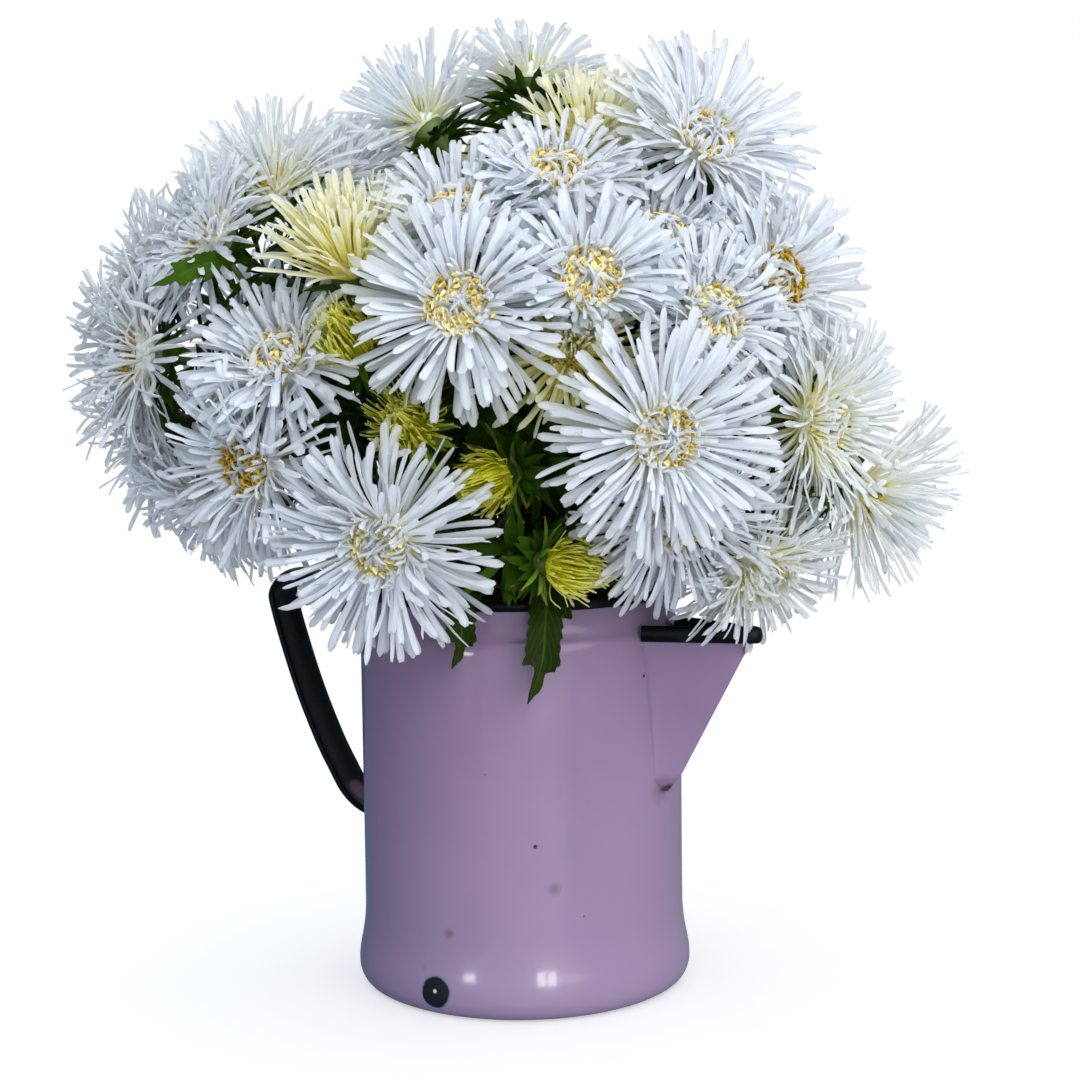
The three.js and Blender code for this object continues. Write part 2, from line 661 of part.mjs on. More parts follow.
/** Each branching stem, with its cups, bracts and leaves, as one body. */
function stems() {
  const random = randomStream(STEM_SEED);
  const headsOf = (key) => HEADS.filter((head) => head.stem === key);
  const branches = (key, fork) => headsOf(key).map((head) => {
    const curve = branchCurve(fork, head);
    addCurveObstacle(`stem ${key}`, curve, BRANCH_R);
    const owners = [`stem ${key}`, head.name, ...headsOf(key).map((other) => `cup ${other.name}`)];
    return branch(curve, head, random, owners);
  });
  return Object.entries(STEMS).map(([key, stem]) => {
    const fork = place(...stem.fork);
    const leaves = LEAVES.filter((row) => row.stem === key).flatMap((row) => stalkedLeaf(row, fork));
    const pieces = [mainStem(stem), ...branches(key, fork), ...leaves];
    return geometryOf(pieces.map(solid).reduce((sum, piece) => sum.add(piece)));
  });
}

// Blooms

/** How far a petal stands clear of the petals already on its own head. */
function siblingRoom(root, tip, own) {
  return own.reduce((least, petal) => {
    const { apart } = separation(root, tip, petal.root, petal.tip);
    return Math.min(least, apart - SIBLING_APART, tip.distanceTo(petal.tip) - SIBLING_TIPS);
  }, Infinity);
}

/**
 * The petal on a face: the first try of its kind's form that keeps clear of everything, shorter as
 * the tries run out. A face that is hemmed in all round has no petal.
 */
function clearPetal(head, face, points, kind, frame, own, random) {
  const root = middleOf(points, face);
  const rootR = points[face[0]].distanceTo(points[face[1]]) * 0.45;
  const from = root.clone().applyMatrix4(frame);
  const [low, high] = FORMS[head.form].lifts[kind];
  const { clamp, lerp } = THREE.MathUtils;
  const wanted = lerp(low, high, 0.2 + 0.6 * random());
  let best = null;
  for (let attempt = 0; attempt < PETAL_TRIES; attempt += 1) {
    const spread = Math.min((5 * attempt) / PETAL_TRIES, 1);
    const lift = rad(clamp(wanted + (random() - 0.5) * 2 * spread * LIFT_SPREAD, low, high));
    const turn = Math.atan2(root.y, root.x) + rad((random() - 0.5) * TURN_SPREAD * (1 + 2 * spread));
    const shrink = Math.max(0, attempt / PETAL_TRIES - WHOLE_TRIES) / (1 - WHOLE_TRIES);
    const whole = head.reach * FORMS[head.form].reach[kind] * (0.93 + 0.12 * random());
    const reach = lerp(whole, FORMS[head.form].stub, shrink);
    const level = Math.cos(lift) * reach;
    const tip = new THREE.Vector3(Math.cos(turn) * level, Math.sin(turn) * level, Math.sin(lift) * reach);
    tip.z += CORE_DEPTH / 2;
    const to = tip.clone().applyMatrix4(frame);
    const others = room(from, to, rootR, PETAL_TIP / 2, [head.name]) - PETAL_GAP;
    const free = Math.min(others, 0) + Math.min(siblingRoom(root, tip, own), 0) * SIBLING_WEIGHT;
    if (!best || free > best.free) best = { root, tip, from, to, rootR, free };
    if (free >= 0) break;
  }
  return best.free < -PETAL_GAP ? null : best;
}

/** A head: a small core, petals drawn out of its two belts of faces, and florets on its disc. */
function bloom(head, index) {
  const { sides, form } = head;
  const random = randomStream(BLOOM_SEED + index * SEED_STEP);
  const frame = headFrame(head);
  const points = rings(FORMS[form].levels, sides);
  const triangles = strip(0, sides);
  for (let i = 1; i + 1 < sides; i += 1) triangles.push([0, i + 1, i]);
  const own = [];
  [0, 1].forEach((belt) => strip(belt + 1, sides).forEach((face, i) => {
    const petal = clearPetal(head, face, points, belt * 2 + (i % 2), frame, own, random);
    if (!petal) {
      triangles.push(face);
      return;
    }
    own.push(petal);
    const drawn = form === 'bud'
      ? drawSpike(points, face, petal.tip) : drawStrap(points, face, petal.tip, PETAL_TIP);
    triangles.push(...drawn);
  }));
  own.forEach(({ from, to, rootR }) => addObstacle(head.name, from, to, rootR, PETAL_TIP / 2));
  const disc = 3 * sides;
  const crown = points.push(new THREE.Vector3(0, 0, CORE_DEPTH + 1)) - 1;
  for (let i = 0; i < sides; i += 1) {
    const face = [disc + i, disc + ((i + 1) % sides), crown];
    const floret = middleOf(points, face);
    floret.z += Math.min(FLORET, head.reach * 0.1) * (0.7 + 0.5 * random());
    triangles.push(...drawSpike(points, face, floret));
  }
  return geometryFrom(points, triangles).applyMatrix4(frame);
}

/** The water, with a plain hole for each stem. */
function water() {
  const radius = WALL_R - SHEET - GAP;
  const bottom = FLOOR_Z + GAP;
  const fill = new THREE.CylinderGeometry(radius, radius, WATER_TOP - bottom, JUG_SIDES);
  fill.rotateX(Math.PI / 2).translate(0, 0, (WATER_TOP + bottom) / 2);
  return geometryOf(Object.values(STEMS).reduce((body, { foot }) => {
    const hole = new THREE.CylinderGeometry(STEM_R + STEM_ROOM, STEM_R + STEM_ROOM, WATER_TOP * 2, 8);
    hole.rotateX(Math.PI / 2).translate(...place(foot[0], WATER_TOP / 2, foot[1]).toArray());
    return body.subtract(solid(hole));
  }, solid(fill)));
}

// Colours and the finished group

const ENAMEL = { color: 0x8b7197, roughness: 0.25, metalness: 0 };
const BLACK_ENAMEL = { color: 0x0f1418, roughness: 0.25, metalness: 0 };
const CLEAR = { color: 0xdfe8ea, roughness: 0.05, metalness: 0 };
const LEAF_GREEN = { color: 0x3e5126, roughness: 0.6, metalness: 0 };
const PETALS = {
  full: { color: 0xe8ecf0, roughness: 0.6, metalness: 0 },
  half: { color: 0xe6dfa0, roughness: 0.6, metalness: 0 },
  bud: { color: 0xaeae40, roughness: 0.6, metalness: 0 },
};

const part = new THREE.Group();

function add(name, geometry, look) {
  const mesh = new THREE.Mesh(closed(geometry), new THREE.MeshStandardMaterial(look));
  mesh.name = name;
  part.add(mesh);
}

add('jug_body', jugBody(), ENAMEL);
add('jug_spout', jugSpout(), ENAMEL);
add('jug_handle', jugHandle(), BLACK_ENAMEL);
add('water', water(), CLEAR);
addJugObstacles();
HEADS.forEach(addHeadObstacles);
Object.entries(STEMS).forEach(([key, stem]) => addCurveObstacle(`stem ${key}`, mainStemCurve(stem), STEM_R));
stems().forEach((geometry, i) => add(`stem_${String(i + 1).padStart(2, '0')}`, geometry, LEAF_GREEN));
HEADS.forEach((head, index) => add(head.name, bloom(head, index), PETALS[head.form]));

export default part;
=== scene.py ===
"""A jug of white needle asters: enamelled jug, water, leafy stems, buds and blooms.

The places are in millimetres until a mesh is made. The bouquet was laid out from its front, which is
turned 30 degrees from the plane of the jug's handle and lip, so a place is given as its distances to
the right, up and toward that front.
"""

import math
from collections import namedtuple

import bpy
import numpy as np
from mathutils import Matrix


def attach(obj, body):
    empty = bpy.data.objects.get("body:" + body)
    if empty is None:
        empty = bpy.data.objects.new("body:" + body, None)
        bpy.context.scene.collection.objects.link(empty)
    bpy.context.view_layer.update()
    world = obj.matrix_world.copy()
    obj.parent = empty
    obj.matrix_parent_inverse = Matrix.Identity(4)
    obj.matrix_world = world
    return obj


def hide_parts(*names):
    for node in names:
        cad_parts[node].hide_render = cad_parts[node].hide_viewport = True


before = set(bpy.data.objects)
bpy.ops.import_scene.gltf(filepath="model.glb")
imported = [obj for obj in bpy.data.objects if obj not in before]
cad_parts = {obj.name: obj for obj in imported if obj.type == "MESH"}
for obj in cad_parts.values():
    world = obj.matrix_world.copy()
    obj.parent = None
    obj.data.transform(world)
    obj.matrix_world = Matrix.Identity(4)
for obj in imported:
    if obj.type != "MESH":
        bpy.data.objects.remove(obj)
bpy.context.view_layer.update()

MM = 0.001
FRONT_TURN = math.radians(30)
ROOT = "root"

# Camera: its place (right, up, toward), its tilt and its lens
CAMERA_AT = (8.3, 257, 800)
CAMERA_PITCH = math.radians(5.6)
CAMERA_ROLL = math.radians(-0.7)
CAMERA_LENS = 66.1

# Floor: its radius, and a glow that only the camera sees
FLOOR_R = 620.0
FLOOR_GLOW = 0.5

# Light of the room from the left, the right and above, and the way from left to right
ROOM_LEFT = (0.05, 0.15, 0.23)
ROOM_RIGHT = (0.46, 0.47, 0.47)
ROOM_ABOVE = (0.96, 0.98, 1.02)
ROOM_SLOPE = (0.75, 0.3, 0.55)

# Soft distant lights: name, direction, strength, spread in degrees and colour
SUNS = [
    ("sun", (0.6, 0.6, 1.0), 2.35, 50, (1.0, 0.985, 0.96)),
    ("fill", (0.05, 0.12, 1.0), 1.25, 70, (0.94, 0.98, 1.0)),
]

# Windows that only glint on the enamel: name, place, size and strength
WINDOWS = [
    ("window_left", (-529, 112, 728), (125, 115), 1.5),
    ("window_front_a", (175, 112, 884), (85, 140), 1.3),
    ("window_front_b", (275, 112, 857), (85, 140), 1.3),
]
GLINT_TARGET = (0, 17, 0)

# Jug
WALL_R = 65.0
SHEET = 1.6
RIM_Z = 161.8
COLLAR_R = 61.9
BEAD_R = 2.0
BEAD_OUT = 0.6
FOOT_R = 68.0
FLOOR_Z = 2.0
JUG_SIDES = 144
JUG_OUTSIDE = [
    (0, 0), (61, 0), (62.5, 0), (65.8, 1.4), (67.7, 5), (FOOT_R, 9), (67.4, 14), (66.1, 20), (65.2, 27),
    (WALL_R, 34), (WALL_R, 139), (WALL_R, 142.5), (64.4, 145.4), (63.2, 147.2), (62.3, 150),
    (COLLAR_R, 154.5), (62.1, 158.6),
]
JUG_INSIDE = [
    (60.5, 158.6), (60.3, 150), (61.6, 146), (63.2, 143), (63.4, 139), (63.4, 8), (60, FLOOR_Z),
    (0, FLOOR_Z),
]

# Pouring lip: the keel's distance from the axis at each height
LIP_KEEL = [(82, 66.5), (89.5, 72.5), (137, 98.5), (149, 106)]
LIP_FOOT_Z = 82.0
LIP_TOP_Z = 149.0
LIP_HALF_ANGLE = (6.0, 14.5)
LIP_ROUND_FOOT = 6.0
LIP_FOLD = 0.1
LIP_BACK = 8.0
LIP_SUNK = 0.3
LIP_BEAD = (3.2, 1.9)
THROAT = {"low": 106, "high": 136, "half": 11}

# Handle: distances from the axis and heights along the middle of the strap
STRAP_WIDTH = 20.0
STRAP_DEPTH = 5.0
STRAP_TOP_Z = 165.0
STRAP_ROUTE = [
    (63.6, 137.6), (80, 146), (98, 157), (112, 160), (120.5, 153), (119.5, 143), (109, 113),
    (98.5, 90), (91, 77), (84.5, 67.5), (76, 61.5), (63.6, 58.2),
]
STRAP_SECTION = [
    (-0.5, -0.2), (-0.32, 0.5), (0.32, 0.5), (0.5, -0.2), (0.42, -0.5), (0, -0.22), (-0.42, -0.5),
]

# Room that petals and leaves leave by the lip and the strap: half the width, reach from the axis
LIP_GUARD = (19, 100)
STRAP_GUARD = (13, 126)

# Stems
WATER_TOP = 100.0
STEM_R = 3.4
BRANCH_R = 1.7
CALYX_DEPTH = 10.0
CORE_DEPTH = 12.0
BRANCH_KNEE = 0.4
BRANCH_RISE = 0.08
LEAF_BOW = 10.0
HANGING_BOW = (0, 6, 14)
# Painted shade: the tone that darkens the leaves hanging over the rim below the blooms
HANGING_SHADE_TONE = -0.5

# Heads: form, place of the disc (right, up, toward), turn, lift, reach of the petals, stem, look
HEAD_ROWS = [
    ("full", -19, 272, 118, -8, 12, 40, "f", "gold"),
    ("full", 52, 225, 124, 14, 0, 43, "a", "dense"),
    ("full", -49, 187, 110, -18, -14, 43.5, "b", "wide"),
    ("full", -99, 215, 88, -40, -8, 41, "c", "brown"),
    ("full", -86, 256, 88, -30, 38, 38, "c", "gold"),
    ("half", -60, 294, 83, -14, 60, 38, "h", "crest"),
    ("full", -20, 307, 86, -6, 50, 37, "f", "gold"),
    ("full", 27, 281, 110, 12, 16, 35, "f", "gold"),
    ("full", 74, 335, 48, 28, 30, 44, "g", "dense"),
    ("full", 54, 298, 78, 20, 45, 33, "g", "cream"),
    ("full", 72, 268, 96, 28, 15, 34, "g", "cream"),
    ("full", 100, 281, 66, 42, 12, 41, "g", "brown"),
    ("full", 117, 227, 66, 52, -5, 43, "e", "tinted"),
    ("half", 140, 195, 35, 75, -30, 44, "e", "tinted"),
    ("full", 92, 168, 66, 38, -45, 36, "e", "tinted"),
    ("full", 60, 192, 92, 18, -36, 41, "a", "dense"),
    ("full", -151, 255, 40, -64, 5, 44, "d", "old"),
    ("full", -150, 222, 10, -95, -18, 42, "d", "old"),
    ("full", -125, 193, 35, -62, -44, 35, "d", "cream"),
    ("half", -99, 326, 15, -42, 52, 40, "h", "tinted"),
    ("full", -122, 302, 45, -60, 28, 36, "h", "cream"),
    ("full", -151, 287, 8, -88, 20, 40, "d", "old"),
    ("full", -78, 330, -8, -30, 60, 38, "h", "cream"),
    ("half", -42, 353, -18, -110, 48, 42, "h", "fan"),
    ("full", 7, 369, -24, 170, 60, 33, "i", "fan"),
    ("half", 29, 340, 38, 12, 60, 34, "i", "crest"),
    ("full", 16, 322, 78, 4, 52, 32, "f", "gold"),
    ("half", 20, 257, 97, 0, 12, 38, "a", "lemon"),
    ("full", 108, 181, 20, 70, -28, 32, "e", "tinted"),
    ("full", -116, 262, -48, -115, 15, 40, "j", "gold"),
    ("full", -72, 290, -84, -140, 32, 40, "j", "cream"),
    ("full", -25, 245, -104, -168, 5, 42, "j", "gold"),
    ("full", 36, 280, -98, 160, 20, 42, "k", "dense"),
    ("full", 86, 240, -82, 134, 4, 42, "k", "brown"),
    ("full", 114, 277, -30, 102, 20, 40, "k", "cream"),
    ("full", 56, 324, -48, 128, 52, 38, "i", "gold"),
    ("half", -36, 322, -64, -155, 55, 36, "i", "lemon"),
    ("full", -80, 208, -74, -138, -20, 35, "j", "tinted"),
    ("full", 34, 202, -94, 160, -22, 40, "k", "cream"),
    ("full", 124, 221, -28, 104, -8, 38, "k", "gold"),
    ("bud", -60, 262, 94, -16, 30, 20, "c", "bud"),
    ("bud", -39, 231, 96, -6, 12, 22, "b", "bud"),
    ("bud", -13, 208, 90, -50, -12, 16, "b", "bud"),
    ("bud", 22, 177, 92, 60, -6, 17, "a", "bud"),
]

# Stems: the foot in the water (right, toward) and the fork (right, up, toward)
STEMS = {
    "a": ((14, 36), (24, 184, 46)),
    "b": ((-12, 38), (-18, 176, 50)),
    "c": ((-32, 24), (-42, 196, 32)),
    "d": ((-42, 4), (-54, 204, 2)),
    "e": ((40, 18), (50, 190, 20)),
    "f": ((0, 14), (0, 246, 44)),
    "g": ((22, 10), (44, 242, 30)),
    "h": ((-20, 2), (-52, 262, 8)),
    "i": ((0, -8), (4, 280, -16)),
    "j": ((-26, -24), (-42, 208, -34)),
    "k": ((26, -24), (42, 206, -34)),
}

# Leaves: stem, root and tip (right, up, toward), half the width, and whether it hangs over the rim
LEAVES = [
    ("a", (11.5, 174, 58), (8, 125.5, 78), 10.5, True),
    ("b", (-23, 172, 56), (-20, 138, 73), 9, True),
    ("d", (-104, 288, 56), (-127, 280, 75), 7, True),
    ("e", (80, 200, 40), (120, 196, 78), 10, False),
    ("a", (20, 192, 56), (-4, 236, 84), 7, False),
    ("b", (-30, 186, 56), (-52, 236, 84), 7, False),
    ("j", (-54, 206, -44), (-92, 240, -86), 10, False),
    ("a", (16, 190, 46), (-10, 220, 64), 12, False),
    ("a", (26, 190, 44), (28, 226, 58), 12, False),
    ("b", (-20, 182, 50), (-4, 222, 50), 12, False),
    ("f", (-4, 240, 46), (-16, 206, 70), 11, False),
    ("f", (4, 240, 46), (20, 204, 70), 11, False),
    ("b", (-16, 178, 42), (-19, 238, 24), 15, False),
    ("a", (4, 178, 38), (3, 236, 18), 15, False),
    ("k", (50, 202, -44), (72, 168, -96), 10, False),
    ("k", (40, 212, -40), (0, 246, -84), 9, False),
    ("j", (-44, 206, -44), (-46, 166, -94), 10, False),
]
LEAF_EDGES = (
    [(0, 0.2), (0.08, 0.5), (0.2, 0.6), (0.3, 0.7), (0.38, 1.0), (0.44, 0.6), (0.54, 0.62), (0.64, 0.56),
     (0.74, 0.6), (0.79, 0.5), (0.82, 0.22), (0.88, 0.22), (0.92, 0.26), (0.95, 0.12), (1, 0.02)],
    [(0, 0.2), (0.08, 0.5), (0.2, 0.6), (0.4, 0.58), (0.55, 0.6), (0.68, 0.66), (0.76, 0.7), (0.8, 0.24),
     (0.86, 0.18), (0.94, 0.14), (1, 0.02)],
)
TIP_CURL = 5.0

# Thickness of the blades, and the seeds of their random draws
PETAL_THICK = 0.32
CURL_THICK = 0.3
LEAF_THICK = 0.4
LOBED_THICK = 0.5
HEAD_SEED = 400
STEM_SEED = 900

# Rows of petals: count, lift where they leave the core and at the tip, share of the reach, half width
PETAL_ROWS = {
    "full": [
        (28, 4, -28, 1.0, 1.4),
        (30, 14, -14, 1.0, 1.4),
        (31, 25, 0, 1.0, 1.35),
        (30, 37, 14, 0.96, 1.25),
        (26, 50, 28, 0.84, 1.1),
        (20, 64, 42, 0.62, 0.9),
        (24, 62, 112, 0.48, 1.0),
    ],
    "half": [
        (26, 12, -2, 0.98, 1.3),
        (28, 26, 18, 1.0, 1.2),
        (28, 40, 36, 0.98, 1.1),
        (26, 54, 52, 0.92, 0.95),
        (24, 68, 68, 0.8, 0.8),
        (18, 80, 84, 0.68, 0.7),
    ],
    "bud": [
        (38, 24, 70, 0.75, 0.5),
        (44, 36, 96, 0.9, 0.48),
        (44, 48, 114, 1.0, 0.45),
        (38, 60, 122, 1.0, 0.42),
        (30, 72, 122, 0.95, 0.4),
        (20, 82, 112, 0.9, 0.4),
    ],
}
CORE_RADIUS = {"full": 11.0, "half": 7.6, "bud": 5.4}
CORE_TAPER = {"full": 0.015, "half": 0.13, "bud": 0.13}
BRACT_SIZE = {"full": 1.0, "half": 0.95, "bud": 0.8}

# Looks: how many more petals, how wide and how unruly they are, how much higher they stand, the
# curled petals across the disc, the florets and the tint of the disc
Look = namedtuple("Look", "more wide wild raised curls florets disc")
LOOKS = {
    "gold": Look(1.05, 1.26, 0.65, 1, 20, 84, "gold"),
    "dense": Look(1.25, 1.0, 0.5, 3, 34, 80, "gold"),
    "cream": Look(1.1, 1.02, 0.75, 3, 34, 72, "cream"),
    "brown": Look(1.0, 1.02, 1.0, 1, 13, 90, "brown"),
    "tinted": Look(1.2, 0.9, 0.5, 4, 30, 60, "lemon"),
    "old": Look(0.95, 0.92, 1.4, 0, 20, 76, "brown"),
    "wide": Look(1.3, 1.02, 0.75, 3, 34, 72, "cream"),
    "lemon": Look(1.15, 0.95, 0.9, 10, 18, 44, "gold"),
    "crest": Look(1.1, 1.1, 0.4, 22, 0, 0, "lemon"),
    "fan": Look(0.75, 1.15, 0.6, -6, 12, 50, "lemon"),
    "bud": Look(1.0, 1.0, 1.1, 0, 0, 0, "lemon"),
}
HEAD_SLOTS = {"full": "white_petal", "half": "young_petal", "bud": "bud_green"}

# Petals by look, white where a look isn't named: root, middle, tip and how far out the tint reaches
PETAL_COLOURS = {
    "white": ((248, 238, 150), (244, 242, 230), (231, 238, 248), 0.3),
    "tinted": ((244, 230, 84), (246, 242, 176), (235, 241, 245), 0.46),
    "old": ((240, 230, 160), (230, 229, 214), (216, 223, 229), 0.3),
    "fan": ((232, 230, 110), (242, 243, 206), (234, 242, 251), 0.42),
    "lemon": ((252, 226, 24), (252, 240, 104), (248, 245, 196), 0.85),
    "crest": ((252, 230, 36), (252, 243, 122), (250, 248, 214), 0.84),
    "bud": ((168, 170, 4), (228, 222, 12), (246, 240, 70), 0.9),
}

# Florets by disc: the painted shade at their feet and inside their cups, also the colour of their dark
# spots; the colour of the rim and of the mouth; and the share of pale ones
FLORET_COLOURS = {
    "gold": ((158, 118, 10), (236, 206, 56), (252, 244, 170), 0.72),
    "cream": ((176, 144, 30), (244, 222, 90), (252, 248, 200), 0.85),
    "brown": ((96, 62, 2), (206, 158, 14), (232, 198, 50), 0.06),
    "lemon": ((196, 170, 20), (248, 232, 70), (252, 246, 170), 0.5),
}


def place(right, up, toward):
    """A place in the part from its distances to the right, up and toward the front."""
    c = math.cos(FRONT_TURN)
    s = math.sin(FRONT_TURN)
    return np.array([right * c + toward * s, right * s - toward * c, up], float)


def facing(turn, lift):
    """A direction: turn in degrees to the right of the front, lift in degrees above level."""
    turn, lift = math.radians(turn), math.radians(lift)
    return place(math.sin(turn) * math.cos(lift), math.sin(lift), math.cos(turn) * math.cos(lift))


def unit(v):
    return v / np.maximum(np.linalg.norm(v, axis=-1, keepdims=True), 1e-9)


def axes_along(out):
    """Three axes whose last is the given direction."""
    side = unit(np.cross([0, 0, 1.0], out)) if abs(out[2]) < 0.999 else np.array([1.0, 0, 0])
    return np.stack([side, np.cross(out, side), out])


class Head:
    """One bloom or bud: its place, the way it faces and its look."""

    def __init__(self, name, row):
        self.name = name
        self.form, right, up, toward, turn, lift, self.reach, self.stem, self.look = row
        self.out = facing(turn, lift)
        self.axes = axes_along(self.out)
        self.disc = place(right, up, toward)
        self.foot = self.disc - self.out * CORE_DEPTH
        self.middle = self.disc - self.out * CORE_DEPTH / 2


def named_heads():
    counts = {"bloom": 0, "bud": 0}
    heads = []
    for row in HEAD_ROWS:
        word = "bud" if row[0] == "bud" else "bloom"
        counts[word] += 1
        heads.append(Head(f"{word}_{counts[word]:02d}", row))
    return heads


HEADS = named_heads()
MIDDLES = np.stack([head.middle for head in HEADS])
CLEARANCES = np.array([25.0 if head.look == "lemon" else 12.5 for head in HEADS])


# Meshes


class Bodies:
    """Gathers closed bodies in one mesh, with the values along, across and tone that materials read."""

    def __init__(self):
        self.points, self.quads, self.caps, self.values = [], [], [], []
        self.count = 0

    def add(self, points, quads, caps=(), values=None):
        flat = np.reshape(points, (-1, 3))
        self.points.append(flat)
        self.quads.append(np.reshape(quads, (-1, 4)) + self.count)
        self.caps += [[i + self.count for i in cap] for cap in caps]
        self.values.append(np.zeros((len(flat), 3)) if values is None else np.reshape(values, (-1, 3)))
        self.count += len(flat)

    def mesh(self, name):
        mesh = bpy.data.meshes.new(name)
        faces = np.concatenate(self.quads).tolist() + self.caps
        mesh.from_pydata((np.concatenate(self.points) * MM).tolist(), [], faces)
        values = np.concatenate(self.values)
        for i, word in enumerate(("along", "across", "tone")):
            attribute = mesh.attributes.new(word, "FLOAT", "POINT")
            attribute.data.foreach_set("value", values[:, i].astype(np.float32))
        mesh.shade_smooth()
        mesh.set_sharp_from_angle(angle=math.radians(52))
        mesh.update()
        return mesh


def placed(data):
    """A new object in the scene that shows a mesh, a light or a camera."""
    piece = bpy.data.objects.new(data.name, data)
    bpy.context.scene.collection.objects.link(piece)
    return piece


def show(mesh, material, slot, *nodes):
    """Puts a mesh in the scene as a piece that rides on the part's body and stands for CAD nodes."""
    piece = placed(mesh)
    mesh.materials.append(material)
    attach(piece, ROOT)
    if nodes:
        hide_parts(*nodes)
    return piece


def ring_quads(rings, count, closed=False):
    """The quads between rings that follow each other, and from the last to the first if closed."""
    a = np.arange(count)
    b = (a + 1) % count
    here = np.arange(rings if closed else rings - 1)[:, None] * count
    above = (here + count) % (rings * count)
    return np.stack([here + a, here + b, above + b, above + a], axis=-1).reshape(-1, 4)


def point_values(shape, along, across, tone):
    """The values along, across and tone for points laid out in a shape."""
    return np.stack([np.broadcast_to(value, shape) for value in (along, across, tone)], axis=-1)


def add_tube(bodies, rings, tone=0.5, across=None):
    """A closed tube through rings of points, shape (rings, count, 3)."""
    count = rings.shape[1]
    last = (len(rings) - 1) * count
    caps = [list(range(count))[::-1], list(range(last, last + count))]
    along = np.linspace(0, 1, len(rings))[:, None]
    across = np.abs(np.linspace(-1, 1, count)) if across is None else across
    values = point_values(rings.shape[:2], along, across, tone)
    bodies.add(rings, ring_quads(len(rings), count), caps, values)


def tube_mesh(name, rings):
    """A closed tube as a mesh of its own."""
    bodies = Bodies()
    add_tube(bodies, rings)
    return bodies.mesh(name)


def add_blades(bodies, spine, side, normal, half, rise, thick, tone, notch=None):
    """Closed thin blades with a ridge below.

    spine, side and normal are (n, rings, 3), half is (n, rings), and rise holds three heights a ring.
    """
    n, rings, across = rise.shape
    s = np.linspace(-1, 1, across)
    top = (
        spine[:, :, None]
        + side[:, :, None] * (half[:, :, None] * s)[..., None]
        + normal[:, :, None] * rise[..., None]
    )
    if notch is not None:
        ahead = unit(spine[:, -1] - spine[:, -2])
        top[:, -1] -= ahead[:, None] * (notch[:, None] * (1 - np.abs(s)))[..., None]
    ridge = top[:, :, 1:2] - normal[:, :, None] * thick
    loop = np.concatenate([top, ridge], axis=2)
    count = across + 1
    first = np.arange(count)[None]
    last = first[:, ::-1] + (rings - 1) * count
    quads = np.concatenate([ring_quads(rings, count)[:, ::-1], first, last])
    quads = quads[None] + (np.arange(n) * rings * count)[:, None, None]
    along = np.linspace(0, 1, rings)[None, :, None]
    values = point_values(loop.shape[:3], along, np.append(s, 0), tone[:, None, None])
    bodies.add(loop, quads, (), values)


def gutter(edge, other=None):
    """The rise of a blade's two edges over its middle."""
    return np.stack([edge, 0 * edge, edge if other is None else other], axis=-1)


def rotated(side, normal, angle):
    """Two axes turned round the third by an angle for each ring."""
    c, s = np.cos(angle)[..., None], np.sin(angle)[..., None]
    return side * c + normal * s, normal * c - side * s


def rays(axes, foot, azimuth, start, lifts, length, bend, twist, steps, ease=1.0, wave=None):
    """Spines that leave a frame's axis sideways and curve: (n, rings, 3) and their sides and normals.

    azimuth, length, bend, twist and wave hold a value for each spine; start holds radius and height.
    """
    t = steps[None]
    lift = np.radians(lifts[0][:, None] + (lifts[1] - lifts[0])[:, None] * t**ease)
    if wave is not None:
        lift = lift + wave[:, None] * np.sin(t * 2 * math.pi * 0.9)
    turn = azimuth[:, None] + bend[:, None] * t**2
    ahead = round_axis(np.cos(lift), turn, np.sin(lift))
    side = round_axis(1, turn + math.pi / 2, 0)
    normal = np.cross(ahead, side)
    side, normal = rotated(side, normal, twist[:, None] * t)
    pace = np.diff(steps, prepend=steps[0])[None, :, None] * length[:, None, None]
    middle = np.concatenate([ahead[:, :1], (ahead[:, 1:] + ahead[:, :-1]) / 2], axis=1)
    base = round_axis(start[0], azimuth, start[1])
    spine = base[:, None] + np.cumsum(middle * pace, axis=1)
    return foot + spine @ axes, side @ axes, normal @ axes


def kept_clear(spine, own, near=1.0, outside=FOOT_R):
    """Shortens the spines that would run into another head, the jug or its handle."""
    rest = np.arange(len(HEADS)) != own
    gap = np.linalg.norm(spine[:, :, None] - MIDDLES[rest], axis=-1)
    blocked = (gap < CLEARANCES[rest] * near).any(axis=-1)
    x, y, z = np.moveaxis(spine, -1, 0)
    beside = np.hypot(x, y)
    blocked |= (beside < outside) & (beside > COLLAR_R - 5) & (z < RIM_Z + 2)
    lip = (z > LIP_FOOT_Z) & (z < LIP_TOP_Z + 3) & (np.abs(y) < LIP_GUARD[0])
    blocked |= lip & (x > 0) & (beside < LIP_GUARD[1])
    blocked |= (x < -60) & (np.abs(y) < STRAP_GUARD[0]) & (z < STRAP_TOP_Z) & (beside < STRAP_GUARD[1])
    rings = spine.shape[1]
    first = np.where(blocked.any(axis=1), blocked.argmax(axis=1), rings)
    share = np.clip(first / rings, 0.3, 1.0) ** 0.8
    return spine[:, :1] + (spine - spine[:, :1]) * share[:, None, None]


# Curves


def bezier(points, t):
    """Points of a Bezier curve of any degree at the values t."""
    points = [np.broadcast_to(p, (len(t), 3)) for p in points]
    while len(points) > 1:
        points = [a + (b - a) * t[:, None] for a, b in zip(points, points[1:])]
    return points[0]


def smooth_route(points, per_span):
    """A smooth curve through points, with the same number of steps in each span."""
    p = np.array(points, float)
    p = np.concatenate([[2 * p[0] - p[1]], p, [2 * p[-1] - p[-2]]])
    t = np.linspace(0, 1, per_span, endpoint=False)[:, None]
    spans = []
    for a, b, c, d in zip(p, p[1:], p[2:], p[3:]):
        spans.append(0.5 * (2 * b + (c - a) * t + (2 * a - 5 * b + 4 * c - d) * t**2
                            + (3 * b - a - 3 * c + d) * t**3))
    return np.concatenate(spans + [p[-2:-1]])


